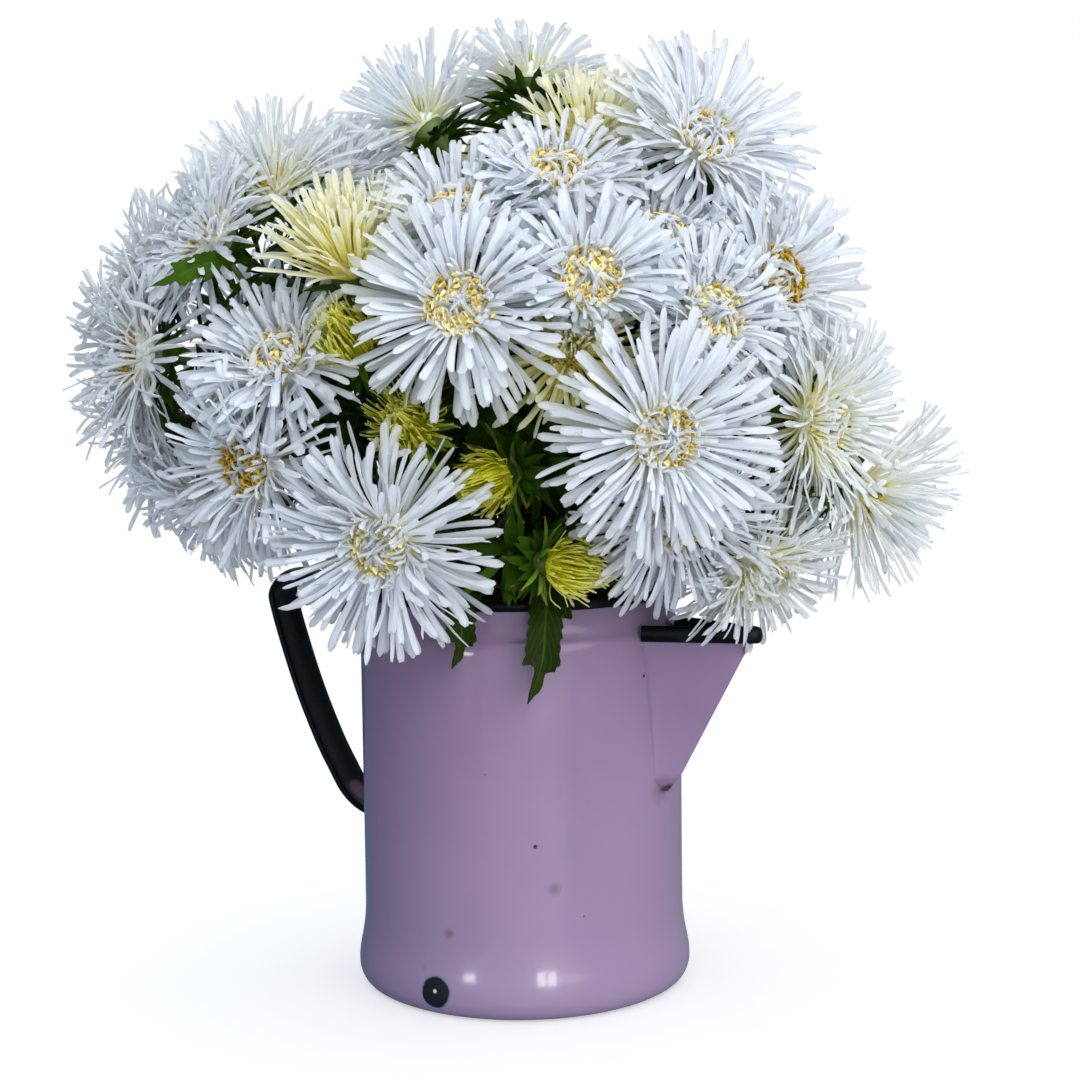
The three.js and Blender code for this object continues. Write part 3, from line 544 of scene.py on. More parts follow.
def corner_cut(points, times, loop=False):
    """A polyline with its corners rounded by cutting them again and again."""
    p = np.array(points, float)
    for _ in range(times):
        ahead = np.roll(p, -1, axis=0) if loop else p[1:]
        here = p if loop else p[:-1]
        cut = np.stack([here * 0.75 + ahead * 0.25, here * 0.25 + ahead * 0.75], axis=1)
        cut = cut.reshape(-1, p.shape[1])
        p = cut if loop else np.concatenate([p[:1], cut, p[-1:]])
    return p


def circle(sides):
    """Evenly spaced angles round a circle."""
    return np.arange(sides) / sides * 2 * math.pi


def round_axis(radius, turn, height):
    """Points at a distance from an axis, at an angle round it and at a height along it."""
    return np.stack([radius * np.cos(turn), radius * np.sin(turn), height + 0 * turn], axis=-1)


def lathe(profile, sides):
    """Rings round the axis from a profile of radii and heights."""
    r, z = np.array(profile, float).T[:, :, None]
    return round_axis(r, circle(sides), z)


def sweep(path, radii, sides):
    """Rings of a round rod along a path, without twist."""
    ahead = unit(np.gradient(path, axis=0))
    side = unit(np.cross(ahead[0], [0.3, 0.2, 1.0]))
    angle = circle(sides)
    rings = []
    for at, way, radius in zip(path, ahead, radii):
        side = unit(side - way * (side @ way))
        other = np.cross(way, side)
        rings.append(at + radius * (np.cos(angle)[:, None] * side + np.sin(angle)[:, None] * other))
    return np.stack(rings)


# Materials


class Nodes:
    """The node tree of a material, or of the world, with short calls for the nodes that recur."""

    def __init__(self, name, world=None):
        self.material = world or bpy.data.materials.new(name)
        self.material.use_nodes = True
        self.tree = self.material.node_tree
        self.shader = self.tree.nodes["Background" if world else "Principled BSDF"]

    def node(self, kind, **settings):
        node = self.tree.nodes.new(kind)
        for key, value in settings.items():
            setattr(node, key, value)
        return node

    def link(self, source, target):
        self.tree.links.new(source, target)

    def attribute(self, name):
        return self.node("ShaderNodeAttribute", attribute_name=name).outputs["Fac"]

    def place(self):
        return self.node("ShaderNodeTexCoord").outputs["Object"]

    def height(self, vector):
        split = self.node("ShaderNodeSeparateXYZ")
        self.link(vector, split.inputs["Vector"])
        return split.outputs["Z"]

    def noise(self, scale, detail=3.0, stretch=None):
        noise = self.node("ShaderNodeTexNoise")
        noise.inputs["Scale"].default_value = scale
        noise.inputs["Detail"].default_value = detail
        source = self.place()
        if stretch:
            mapping = self.node("ShaderNodeMapping")
            mapping.inputs["Scale"].default_value = stretch
            self.link(source, mapping.inputs["Vector"])
            source = mapping.outputs["Vector"]
        self.link(source, noise.inputs["Vector"])
        return noise.outputs["Fac"]

    def ramp(self, value, *stops):
        """A ramp of colours as seen on a screen."""
        ramp = self.node("ShaderNodeValToRGB")
        elements = ramp.color_ramp.elements
        while len(elements) < len(stops):
            elements.new(0.5)
        for element, (position, colour) in zip(elements, stops):
            element.position = position
            element.color = (*srgb(*colour), 1)
        self.link(value, ramp.inputs["Fac"])
        return ramp.outputs["Color"]

    def mix(self, share, first, second, blend="MIX"):
        mix = self.node("ShaderNodeMix", data_type="RGBA", blend_type=blend)
        self.put(mix.inputs["Factor"], share)
        self.put(mix.inputs["A"], first)
        self.put(mix.inputs["B"], second)
        return mix.outputs["Result"]

    def layered(self, colour, *layers, blend="MIX"):
        """A colour under layers of paint, each a mask and a colour as seen on a screen."""
        for mask, paint in layers:
            colour = self.mix(mask, colour, srgb(*paint), blend)
        return colour

    def math(self, operation, first, second=0.0):
        node = self.node("ShaderNodeMath", operation=operation)
        self.put(node.inputs[0], first)
        self.put(node.inputs[1], second)
        return node.outputs[0]

    def put(self, socket, value):
        if isinstance(value, bpy.types.NodeSocket):
            self.link(value, socket)
        elif isinstance(value, tuple):
            socket.default_value = (*value, 1)
        else:
            socket.default_value = value

    def spread(self, value, low, high, to_low=0.0, to_high=1.0):
        node = self.node("ShaderNodeMapRange")
        self.put(node.inputs["Value"], value)
        for key, number in (("From Min", low), ("From Max", high), ("To Min", to_low), ("To Max", to_high)):
            node.inputs[key].default_value = number
        return node.outputs["Result"]

    def bump(self, height, strength, distance):
        bump = self.node("ShaderNodeBump")
        bump.inputs["Strength"].default_value = strength
        bump.inputs["Distance"].default_value = distance
        self.link(height, bump.inputs["Height"])
        self.link(bump.outputs["Normal"], self.shader.inputs["Normal"])

    def surface(self, colour, roughness, **sockets):
        self.put(self.shader.inputs["Base Color"], colour)
        self.put(self.shader.inputs["Roughness"], roughness)
        for key, value in sockets.items():
            self.shader.inputs[key.replace("_", " ")].default_value = value
        return self.material


def srgb(red, green, blue):
    """A colour as seen on a screen, 0 to 255, in linear light."""
    def linear(v):
        v /= 255
        return v / 12.92 if v <= 0.04045 else ((v + 0.055) / 1.055) ** 2.4
    return (linear(red), linear(green), linear(blue))


def petal_material(name, root, middle, tip, tinted):
    """A petal: tinted where it leaves the core, with fine lengthwise veins, painted shade along its middle
    crease and a dull satin face.
    """
    nodes = Nodes(f"{name} petal")
    body = nodes.ramp(nodes.attribute("along"), (0.0, root), (tinted * 0.45, middle), (tinted, tip))
    across = nodes.attribute("across")
    veins = nodes.spread(nodes.math("SINE", nodes.math("MULTIPLY", across, 11.0)), 0.2, 1.0, 0.0, 0.25)
    # painted shade: a bluish grey laid along the middle crease of each petal
    fold = nodes.spread(nodes.math("ABSOLUTE", across), 0.0, 0.22, 0.25, 0.0)
    shade = nodes.spread(nodes.attribute("tone"), 0.0, 1.0, 0.0, 0.45)
    layers = (veins, (224, 227, 232)), (fold, (216, 219, 226)), (shade, (236, 236, 239))
    colour = nodes.layered(body, *layers, blend="MULTIPLY")
    nodes.shader.inputs["Subsurface Radius"].default_value = (1.0, 0.95, 0.85)
    return nodes.surface(
        colour, 0.55, Specular_IOR_Level=0.2, Subsurface_Weight=0.85, Subsurface_Scale=0.004,
    )


def floret_material(name, shade_and_spots, rim, mouth, pale):
    """Disc florets: painted shade at their feet and inside their cups, dark spots, bright on the rim; a
    share of them is pale, most in the middle.
    """
    nodes = Nodes(f"{name} floret")
    along = nodes.attribute("along")
    # painted shade: each floret is darkened at its foot and inside its cup
    colour = nodes.ramp(along, (0.2, shade_and_spots), (0.48, rim), (0.76, mouth), (1.0, shade_and_spots))
    # dark spots, in the colour of the painted shade
    spots = nodes.spread(nodes.noise(420, 2.0), 0.4, 0.66, 0.0, 0.45)
    colour = nodes.layered(colour, (spots, shade_and_spots))
    cream = nodes.ramp(along, (0.2, (222, 206, 120)), (0.6, (250, 247, 222)), (1.0, (230, 214, 130)))
    outward = nodes.math("MULTIPLY", nodes.attribute("across"), 0.45)
    rank = nodes.math("ADD", nodes.attribute("tone"), outward)
    colour = nodes.mix(nodes.spread(rank, pale - 0.04, pale + 0.04, 0.92, 0.0), colour, cream)
    nodes.bump(nodes.noise(700, 2.0), 0.2, 0.0002)
    return nodes.surface(colour, 0.6, Specular_IOR_Level=0.3)


def leaf_material():
    """A leaf: mottled green with a paler midrib and side veins, brown at some tips, and painted shade on
    the leaves that hang over the rim.
    """
    nodes = Nodes("leaf green")
    along = nodes.attribute("along")
    across = nodes.math("ABSOLUTE", nodes.attribute("across"))
    mottle = nodes.noise(90, 4.0)
    tone = nodes.attribute("tone")
    slant = nodes.math("MULTIPLY", across, 14.0)
    branch = nodes.math("SUBTRACT", nodes.math("MULTIPLY", along, 62.0), slant)
    veins = nodes.spread(nodes.math("SINE", branch), 0.86, 1.0, 0.0, 0.25)
    lines = nodes.math("MAXIMUM", veins, nodes.spread(across, 0.0, 0.09, 0.5, 0.0))
    browned = nodes.math("MULTIPLY", nodes.spread(along, 0.86, 0.98), nodes.spread(tone, 0.9, 0.94))
    colour = nodes.layered(
        srgb(12, 27, 3),
        (nodes.spread(mottle, 0.3, 0.7), (52, 85, 12)),
        (nodes.spread(tone, 0.0, 1.0, 0.0, 0.6), (52, 85, 12)),
        # painted shade on the leaves that hang over the rim
        (nodes.spread(tone, HANGING_SHADE_TONE, 0.0, 0.85, 0.0), (24, 35, 3)),
        (nodes.spread(tone, 1.0, 1.3, 0.0, 0.9), (112, 140, 44)),
        (lines, (74, 101, 24)),
        (browned, (168, 92, 52)),
    )
    nodes.bump(nodes.math("SUBTRACT", mottle, lines), 0.5, 0.0006)
    return nodes.surface(colour, 0.6, Specular_IOR_Level=0.05)


def stem_material():
    """Green stems with lengthwise ridges and a paler bloom."""
    nodes = Nodes("stem green")
    streaks = nodes.noise(60, 3.0, stretch=(1, 1, 0.12))
    colour = nodes.ramp(streaks, (0.3, (38, 56, 20)), (0.55, (62, 86, 34)), (0.8, (104, 124, 58)))
    nodes.bump(nodes.noise(500, 2.0, stretch=(1, 1, 0.1)), 0.4, 0.0004)
    return nodes.surface(colour, 0.5, Specular_IOR_Level=0.4)


def enamel_spot(nodes, colour, wobble, at, radius, soft, paint, rough=0.3):
    """Paints a spot whose edge is roughened by noise, and gives the new colour and the spot's mask."""
    distance = nodes.node("ShaderNodeVectorMath", operation="DISTANCE")
    nodes.link(nodes.place(), distance.inputs[0])
    distance.inputs[1].default_value = tuple(at * MM)
    edge = nodes.math("MULTIPLY", nodes.spread(wobble, 0.3, 0.7, -rough, rough), radius * MM)
    reach = nodes.math("ADD", distance.outputs["Value"], edge)
    mask = nodes.spread(reach, (radius - soft) * MM, (radius + soft) * MM, 1.0, 0.0)
    return nodes.mix(mask, colour, srgb(*paint)), mask


def on_wall(angle, z, radius=WALL_R):
    """A place on the jug's wall at an angle to the right of the front."""
    turn = math.radians(angle)
    return place(math.sin(turn) * radius, z, math.cos(turn) * radius)


# Spots on the wall: angle to the right of the front, height and radius
SMUDGES = [(-25.9, 33.1, 1.4), (-35.4, 18.2, 1.2), (10.6, 51.7, 1.6), (57.1, 83.7, 4.0), (170, 60, 2)]
DOTS = [(4.4, 68.3, 0.75), (47.3, 129.7, 0.6), (53.2, 127.2, 0.55), (-12, 96, 0.3), (21, 40, 0.3)]
# Painted shade: a dark violet spot in the crease where the foot of the lip meets the wall
LIP_FOOT_SHADE = np.array([WALL_R + 2.2, -1.6, LIP_FOOT_Z + 1.0])
CHIP = on_wall(-30.3, 10.0, FOOT_R)
CHIP_R = 6.2
# Painted reflection: where the violet jug shows on the lower bend of the black handle
JUG_REFLECTION_SPOT = np.array([-84.0, 0.0, 65.0])


def violet_enamel():
    """Greyed violet enamel: faint clouds, small dark dots, smudges, and one chip down to the iron; painted
    light from the floor towards the bottom, painted shade at the foot of the lip and a painted highlight in
    the chip.
    """
    nodes = Nodes("violet enamel")
    clouds = nodes.noise(14, 4.0)
    colour = nodes.ramp(clouds, (0.3, (123, 102, 133)), (0.5, (129, 108, 139)), (0.72, (135, 113, 145)))
    # painted light from the floor: the enamel is lighter and bluer towards the bottom
    low = nodes.spread(nodes.height(nodes.place()), 0.0, 0.12, 0.9, 0.0)
    grain = nodes.spread(nodes.noise(900, 2.0), 0.3, 0.7, 0.0, 0.1)
    colour = nodes.layered(colour, (low, (136, 119, 149)), (grain, (126, 108, 140)))
    wobble = nodes.noise(260, 3.0)
    spots = [(on_wall(angle, z), radius, radius * 0.9, (112, 88, 112)) for angle, z, radius in SMUDGES]
    spots += [(on_wall(angle, z), radius, 0.25, (40, 30, 44)) for angle, z, radius in DOTS]
    # painted shade at the foot of the lip, and the pale ring round the chip
    spots += [(LIP_FOOT_SHADE, 2.4, 1.1, (66, 44, 66)), (CHIP, CHIP_R + 0.8, 0.7, (112, 118, 146), 0.05)]
    for spot in spots:
        colour, _ = enamel_spot(nodes, colour, wobble, *spot)
    colour, pit = enamel_spot(nodes, colour, wobble, CHIP, CHIP_R, 0.35, (15, 18, 24), 0.05)
    # a painted highlight: a small pale dot in the chip
    painted_highlight_at = CHIP + [0, 0, 0.6]
    colour, _ = enamel_spot(nodes, colour, wobble, painted_highlight_at, 0.7, 0.25, (200, 206, 210), 0.2)
    peel = nodes.math("SUBTRACT", nodes.math("MULTIPLY", nodes.noise(130, 2.0), 0.3), pit)
    nodes.bump(peel, 0.5, 0.0005)
    rough_pit = nodes.math("MULTIPLY", pit, 0.25)
    roughness = nodes.math("ADD", nodes.spread(clouds, 0.3, 0.7, 0.16, 0.26), rough_pit)
    return nodes.surface(
        colour, roughness, Specular_IOR_Level=0.15, Coat_Weight=0.2, Coat_Roughness=0.08,
    )


def black_enamel():
    """Black enamel, worn to a dark grey in places, with a painted reflection of the violet jug on the
    handle's lower bend.
    """
    nodes = Nodes("black enamel")
    wear = nodes.noise(70, 5.0)
    colour = nodes.ramp(wear, (0.35, (6, 9, 12)), (0.62, (11, 16, 20)), (0.8, (34, 40, 44)))
    # painted reflection of the violet jug on the handle's lower bend
    colour, _ = enamel_spot(nodes, colour, wear, JUG_REFLECTION_SPOT, 5.5, 1.6, (112, 84, 108), 0.5)
    nodes.bump(nodes.noise(160, 2.0), 0.12, 0.0004)
    return nodes.surface(colour, nodes.spread(wear, 0.4, 0.8, 0.25, 0.5), Specular_IOR_Level=0.06)


def water_material():
    nodes = Nodes("clear water")
    ripple = nodes.noise(30, 2.0)
    nodes.bump(ripple, 0.05, 0.001)
    colour = nodes.mix(nodes.spread(ripple, 0.3, 0.7, 0.0, 0.3), (0.86, 0.92, 0.9), (0.78, 0.88, 0.84))
    return nodes.surface(colour, 0.03, Transmission_Weight=0.9, IOR=1.333)


def floor_material():
    nodes = Nodes("pale floor")
    cloud = nodes.spread(nodes.noise(3, 2.0), 0.3, 0.7)
    nodes.put(nodes.shader.inputs["Emission Color"], (1.0, 1.0, 1.0))
    seen = nodes.node("ShaderNodeLightPath").outputs["Is Camera Ray"]
    nodes.link(nodes.math("MULTIPLY", seen, FLOOR_GLOW), nodes.shader.inputs["Emission Strength"])
    return nodes.surface(nodes.mix(cloud, (0.9, 0.9, 0.9), (0.93, 0.93, 0.93)), 0.7, Specular_IOR_Level=0.1)


# Jug


def add_lathe(bodies, profile, count):
    """A turned body from a profile that starts and ends on the axis."""
    rings = lathe(profile[1:-1], count)
    start = bodies.count
    bodies.add(rings, ring_quads(len(rings), count))
    first = start + len(rings) * count
    ends = np.array([[0, 0, profile[0][1]], [0, 0, profile[-1][1]]], float)
    bodies.add(ends, np.zeros((0, 4), int))
    last = start + (len(rings) - 1) * count
    for i in range(count):
        j = (i + 1) % count
        bodies.caps.append([start + j, start + i, first])
        bodies.caps.append([last + i, last + j, first + 1])


def cut(piece, name, rings):
    """Cuts the closed tube through some rings out of a piece."""
    cutter = placed(tube_mesh(name, rings))
    modifier = piece.modifiers.new("cut", "BOOLEAN")
    modifier.operation = "DIFFERENCE"
    modifier.solver = "EXACT"
    modifier.object = cutter
    bpy.context.view_layer.update()
    result = bpy.data.meshes.new_from_object(piece.evaluated_get(bpy.context.evaluated_depsgraph_get()))
    piece.modifiers.clear()
    old, kept_name = piece.data, piece.data.name
    piece.data = result
    bpy.data.meshes.remove(old)
    result.name = kept_name
    bpy.data.objects.remove(cutter)


def throat_rings():
    """The round-bottomed window behind the lip, as a prism through the wall."""
    low, high, half = THROAT["low"], THROAT["high"], THROAT["half"]
    angle = np.linspace(math.pi, 2 * math.pi, 17)
    outline = [(-half, high)] + [
        (math.cos(a) * half, low + half + math.sin(a) * half) for a in angle
    ] + [(half, high)]
    return np.array([[(x, y, z) for y, z in outline] for x in (WALL_R - 8, WALL_R + 8)], float)


def lip_section(z, inset, level=None):
    """One level section of the folded lip, drawn in by a sheet's thickness."""
    share = (z - LIP_FOOT_Z) / (LIP_TOP_Z - LIP_FOOT_Z)
    straight = LIP_HALF_ANGLE[0] + (LIP_HALF_ANGLE[1] - LIP_HALF_ANGLE[0]) * share
    rounded = math.sqrt(min(1, (z - LIP_FOOT_Z + 0.3) / LIP_ROUND_FOOT))
    half = math.radians(straight * rounded) - inset / WALL_R
    heights, reaches = zip(*LIP_KEEL)
    reach = np.interp(z, heights, reaches) - inset * 1.6 - WALL_R
    s = np.linspace(-1, 1, 33)
    blunt = np.hypot(s, LIP_FOLD)
    fold = (math.hypot(1, LIP_FOLD) - blunt) / (math.hypot(1, LIP_FOLD) - LIP_FOLD)
    x = np.cos(half * s) * WALL_R + reach * fold
    y = math.sin(half) * WALL_R * s
    front = np.stack([x, y, np.full(len(s), level or z)], axis=-1)
    back = np.array([[WALL_R - LIP_BACK, y[-1], level or z], [WALL_R - LIP_BACK, y[0], level or z]])
    return np.concatenate([front, back])


def swept_section(path, section, across):
    """Rings of a flat section along a path in one plane: across is the plane's normal."""
    ahead = unit(np.gradient(path, axis=0))
    out = np.cross(across, ahead)
    return path[:, None] + section[None, :, :1] * across + section[None, :, 1:] * out[:, None]


def rim_path(z, inset):
    """The lip's top edge from the wall round the fold and back to the wall."""
    edge = lip_section(z, inset)[:33]
    return edge[(edge[:, 0] > WALL_R - 2.6)]


def build_jug():
    violet, black = violet_enamel(), black_enamel()
    body = Bodies()
    outside = corner_cut(JUG_OUTSIDE[1:], 3)
    inside = corner_cut(JUG_INSIDE[:-1], 2)
    add_lathe(body, [(0, 0), *outside, *inside, (0, FLOOR_Z)], JUG_SIDES)
    jug = show(body.mesh("jug_wall"), violet, "violet_enamel", "jug_body")
    cut(jug, "throat", throat_rings())
    rim = Bodies()
    ring = [
        (COLLAR_R + BEAD_OUT + math.cos(a) * BEAD_R, RIM_Z - BEAD_R + math.sin(a) * BEAD_R * 1.1)
        for a in circle(22)
    ]
    rim.add(lathe(ring, JUG_SIDES), ring_quads(len(ring), JUG_SIDES, closed=True))
    show(rim.mesh("jug_rim"), black, "black_enamel")
    build_lip(violet, black)
    build_handle(black)
    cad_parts["water"].data.materials.clear()
    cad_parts["water"].data.materials.append(water_material())


def build_lip(violet, black):
    levels = np.concatenate([np.linspace(LIP_FOOT_Z, 92, 12), np.linspace(95, LIP_TOP_Z - 1.5, 16)])
    outer = np.stack([lip_section(z, 0) for z in levels])
    piece = show(tube_mesh("jug_lip", outer), violet, "violet_enamel", "jug_spout")
    inner = [lip_section(z, SHEET) for z in np.linspace(94, LIP_TOP_Z, 14)]
    inner.append(lip_section(LIP_TOP_Z, SHEET, LIP_TOP_Z + 6))
    cut(piece, "trough", np.stack(inner))
    cut(piece, "wall", lathe([(WALL_R - LIP_SUNK, -20), (WALL_R - LIP_SUNK, 300)], JUG_SIDES))
    path = corner_cut(rim_path(LIP_TOP_Z, SHEET * 0.4) * [1, 1, 0] + [0, 0, LIP_TOP_Z - 2.7], 1)
    section = np.stack([np.cos(circle(16)) * LIP_BEAD[0], np.sin(circle(16)) * LIP_BEAD[1]], axis=-1)
    bead = swept_section(path, section, np.array([0, 0, 1.0]))
    show(tube_mesh("lip_bead", bead), black, "black_enamel")


def build_handle(black):
    route = smooth_route([(-r, 0, z) for r, z in STRAP_ROUTE], 10)
    section = corner_cut(STRAP_SECTION, 2, loop=True) * [STRAP_WIDTH, STRAP_DEPTH]
    strap = swept_section(route, section, np.array([0, 1.0, 0]))
    show(tube_mesh("handle_strap", strap), black, "black_enamel", "jug_handle")


# Blooms

PETAL_STEPS = np.array([0, 0.17, 0.38, 0.6, 0.82, 0.94, 1.0])
PETAL_WIDTH = np.array([0.48, 0.52, 0.64, 0.8, 0.97, 1.0, 0.58])
CURL_STEPS = np.linspace(0, 1, 8)
CURL_WIDTH = np.array([0.7, 0.9, 1.0, 1.0, 0.95, 0.85, 0.7, 0.3])

# A floret's rings: share of its height, radius and how star-shaped; and the dome below the florets
FLORET_PROFILE = [(-0.3, 0.45, 0), (0.5, 0.5, 0), (0.86, 0.8, 0.16), (1.0, 1.15, 0.3), (0.72, 0.3, 0)]
FLORET_SIDES = 5
DISC_DOME = [(0.6, 7), (0.98, 8.6), (0.85, 9.8), (0.4, 10.5)]


def spaced(rng, count, jitter):
    """Angles round a circle, evenly spaced but for a jitter."""
    gap = 2 * math.pi / count
    return (np.arange(count) + rng.uniform(-jitter, jitter, count) + rng.uniform()) * gap


def add_petals(bodies, head, rng, own):
    """The rows of ray petals: gutters that open towards blunt tips, each bent its own way."""
    look = LOOKS[head.look]
    wild = look.wild
    core = CORE_RADIUS[head.form]
    for row, (count, low, high, share, half) in enumerate(PETAL_ROWS[head.form]):
        n = round(count * look.more)
        azimuth = spaced(rng, n, 0.45)
        raised = look.raised + rng.normal(0, 4, n)
        lifts = (low + raised, high + raised + rng.normal(0, 7 + 7 * wild, n))
        length = (head.reach * share - core * 0.85) * rng.uniform(0.86, 1.08, n)
        if head.form == "bud":
            length = head.reach * share * rng.uniform(0.85, 1.1, n)
        strays = rng.uniform(size=n) < 0.12 * wild
        length = np.where(strays, length * rng.uniform(0.5, 0.9, n), length)
        bend = rng.normal(0, 0.1 + 0.13 * wild, n) + np.where(strays, rng.normal(0, 0.8, n), 0)
        turned = rng.uniform(size=n) < 0.14
        twist = rng.normal(0, 0.35 + 0.35 * wild, n) + np.where(turned, rng.choice([-1.3, 1.3], n), 0)
        wave = rng.normal(0, 0.12 + 0.12 * wild, n)
        start = (core * (1 - CORE_TAPER[head.form] * row), min(2 + row * 1.45, 9.8))
        ease = 0.8 if head.form == "bud" else 1.3
        spine, side, normal = rays(
            head.axes, head.foot, azimuth, start, lifts, length, bend, twist, PETAL_STEPS, ease, wave,
        )
        spine = kept_clear(spine, own)
        wide = half * look.wide * rng.uniform(0.68, 1.25, n)
        halves = wide[:, None] * PETAL_WIDTH[None] ** rng.uniform(0.7, 1.5, n)[:, None]
        quill = rng.uniform(0.35, 1.0, n)[:, None] * (1.15 - 0.95 * PETAL_STEPS)[None]
        rise = gutter(halves * quill, halves * quill * rng.uniform(0.5, 1.3, n)[:, None])
        notch = np.where(rng.uniform(size=n) < 0.4, rng.uniform(0.3, 1.2, n), rng.uniform(-0.9, 0, n))
        add_blades(bodies, spine, side, normal, halves, rise, PETAL_THICK, rng.uniform(size=n), notch)


def add_core(bodies, head):
    """The small body that the petals grow out of."""
    core = CORE_RADIUS[head.form]
    taper = 1 - CORE_TAPER[head.form] * 4
    profile = [(core * 0.6, -1), (core * 0.97, 1.5), (core, 4), (core * (0.4 + 0.6 * taper), 7.5),
               (core * taper * 0.9, 10)]
    add_tube(bodies, head.foot + lathe(profile, 18) @ head.axes, tone=1.0)


def add_curls(bodies, head, rng):
    """Short thin petals that curl in across the disc."""
    count = LOOKS[head.look].curls
    azimuth = spaced(rng, count, 0.5)
    inward = rng.uniform(size=count) < 0.72
    lifts = (
        np.where(inward, rng.uniform(96, 140, count), rng.uniform(40, 80, count)),
        np.where(inward, rng.uniform(165, 205, count), rng.uniform(0, 60, count)),
    )
    length = rng.uniform(7, 15, count)
    inner = rng.uniform(0.45, 1.0, count)
    start = (CORE_RADIUS[head.form] * inner, 10.2)
    spine, side, normal = rays(
        head.axes, head.foot, azimuth, start, lifts, length, rng.normal(0, 0.9, count),
        rng.normal(0, 1.2, count), CURL_STEPS,
    )
    stout = 1.15 if head.look == "brown" else 1.0
    halves = stout * rng.uniform(0.5, 1.15, count)[:, None] * CURL_WIDTH[None]
    tones = rng.uniform(size=count)
    add_blades(bodies, spine, side, normal, halves, gutter(halves * 0.6), CURL_THICK, tones)


def add_florets(bodies, head, rng):
    """The tube florets of the disc, laid out by the golden angle, each a little open cup."""
    count = LOOKS[head.look].florets
    k = np.arange(count)
    spread = CORE_RADIUS[head.form] - 0.6
    r = spread * np.sqrt((k + 0.5) / count)
    turn = k * math.pi * (3 - math.sqrt(5)) + rng.normal(0, 0.06, count)
    tall = rng.uniform(2.0, 3.6, count) * (0.75 + 0.35 * r / spread)
    lean = np.radians(34) * r / spread + rng.normal(0, 0.2, count)
    base = round_axis(r, turn, 9.2 + 1.2 * (1 - (r / spread) ** 2))
    way = round_axis(np.sin(lean), turn, np.cos(lean))
    side = unit(np.cross(way, [0.3, 0.1, 1.0]))
    other = np.cross(way, side)
    height, radius, star = np.array(FLORET_PROFILE).T[:, :, None]
    angle = circle(FLORET_SIDES)
    around = side[:, None] * np.cos(angle)[:, None] + other[:, None] * np.sin(angle)[:, None]
    wide = radius * (1 + star * np.cos(angle * FLORET_SIDES / 2))
    size = rng.uniform(0.8, 1.2, count)[:, None, None]
    centre = base[:, None] + way[:, None] * (tall[:, None] * height[:, 0])[..., None]
    rings = centre[:, :, None] + around[:, None] * (size * wide)[..., None]
    for floret, at, tone in zip(head.foot + rings @ head.axes, r / spread, rng.uniform(size=count)):
        add_tube(bodies, floret, tone, at)
    dome = [(spread * share, z) for share, z in DISC_DOME] + [(0.4, 10.7)]
    add_tube(bodies, head.foot + lathe(dome, 16) @ head.axes)


def build_heads():
    petals = {name: petal_material(name, *row) for name, row in PETAL_COLOURS.items()}
    discs = {name: floret_material(name, *row) for name, row in FLORET_COLOURS.items()}
    for index, head in enumerate(HEADS):
        rng = np.random.default_rng(HEAD_SEED + index)
        rays_of = Bodies()
        add_core(rays_of, head)
        add_petals(rays_of, head, rng, index)
        if LOOKS[head.look].curls:
            add_curls(rays_of, head, rng)
        slot = HEAD_SLOTS[head.form]
        petal = petals.get(head.look, petals["white"])
        show(rays_of.mesh(f"{head.name}_petals"), petal, slot, head.name)
        if LOOKS[head.look].florets:
            disc = Bodies()
            add_florets(disc, head, rng)
            show(disc.mesh(f"{head.name}_disc"), discs[LOOKS[head.look].disc], slot)


# Greenery


def branch_path(fork, head, steps=15):
    seat = head.foot - head.out * CALYX_DEPTH
    span = np.linalg.norm(seat - fork)
    knee = seat - head.out * span * BRANCH_KNEE
    start = fork + (knee - fork) * 0.55 + [0, 0, span * BRANCH_RISE]
    return bezier([fork, start, knee, seat], np.linspace(0, 1, steps))


def main_path(foot, fork, steps=18):
    low = place(foot[0], WATER_TOP + 2, foot[1])
    straight = low + [0, 0, (fork[2] - low[2]) * 0.45]
    curve = bezier([low, straight, fork + (low - fork) * 0.35, fork], np.linspace(0, 1, steps))
    base = place(foot[0], FLOOR_Z + 0.3, foot[1])
    return np.concatenate([base[None], low[None] - [0, 0, 30], curve])


LEAF_STEPS = np.linspace(0, 1, 9)
LEAF_WIDTH = np.array([0.35, 0.74, 0.84, 1.06, 0.86, 0.94, 0.62, 0.36, 0.05])
BRACT_WIDTH = np.array([0.6, 0.95, 0.9, 1.05, 0.85, 0.86, 0.55, 0.3, 0.04])


def add_leaflets(
    bodies, axes, foot, rng, count, start, lifts, lengths, half, widths, own, tones=(0, 1),
):
    """Narrow pointed leaves or bracts round an axis."""
    azimuth = spaced(rng, count, 0.4)
    length = rng.uniform(*lengths, count)
    spine, side, normal = rays(
        axes, foot, azimuth, start,
        (rng.uniform(*lifts[0], count), rng.uniform(*lifts[1], count)), length,
        rng.normal(0, 0.2, count), rng.normal(0, 0.3, count), LEAF_STEPS,
    )
    spine = kept_clear(spine, own, 0.72, 3 * FOOT_R)
    halves = rng.uniform(0.75, 1.2, count)[:, None] * half * widths[None]
    tone = rng.uniform(*tones, count)
    add_blades(bodies, spine, side, normal, halves, gutter(halves * 0.3), LEAF_THICK, tone)


def add_leaves_along(leaves, path, places, rng, own, *sizes):
    """Whorls of narrow leaves at some places of a path."""
    ahead = unit(np.gradient(path, axis=0))
    for i in places:
        add_leaflets(leaves, axes_along(ahead[i]), path[i], rng, *sizes, LEAF_WIDTH, own)


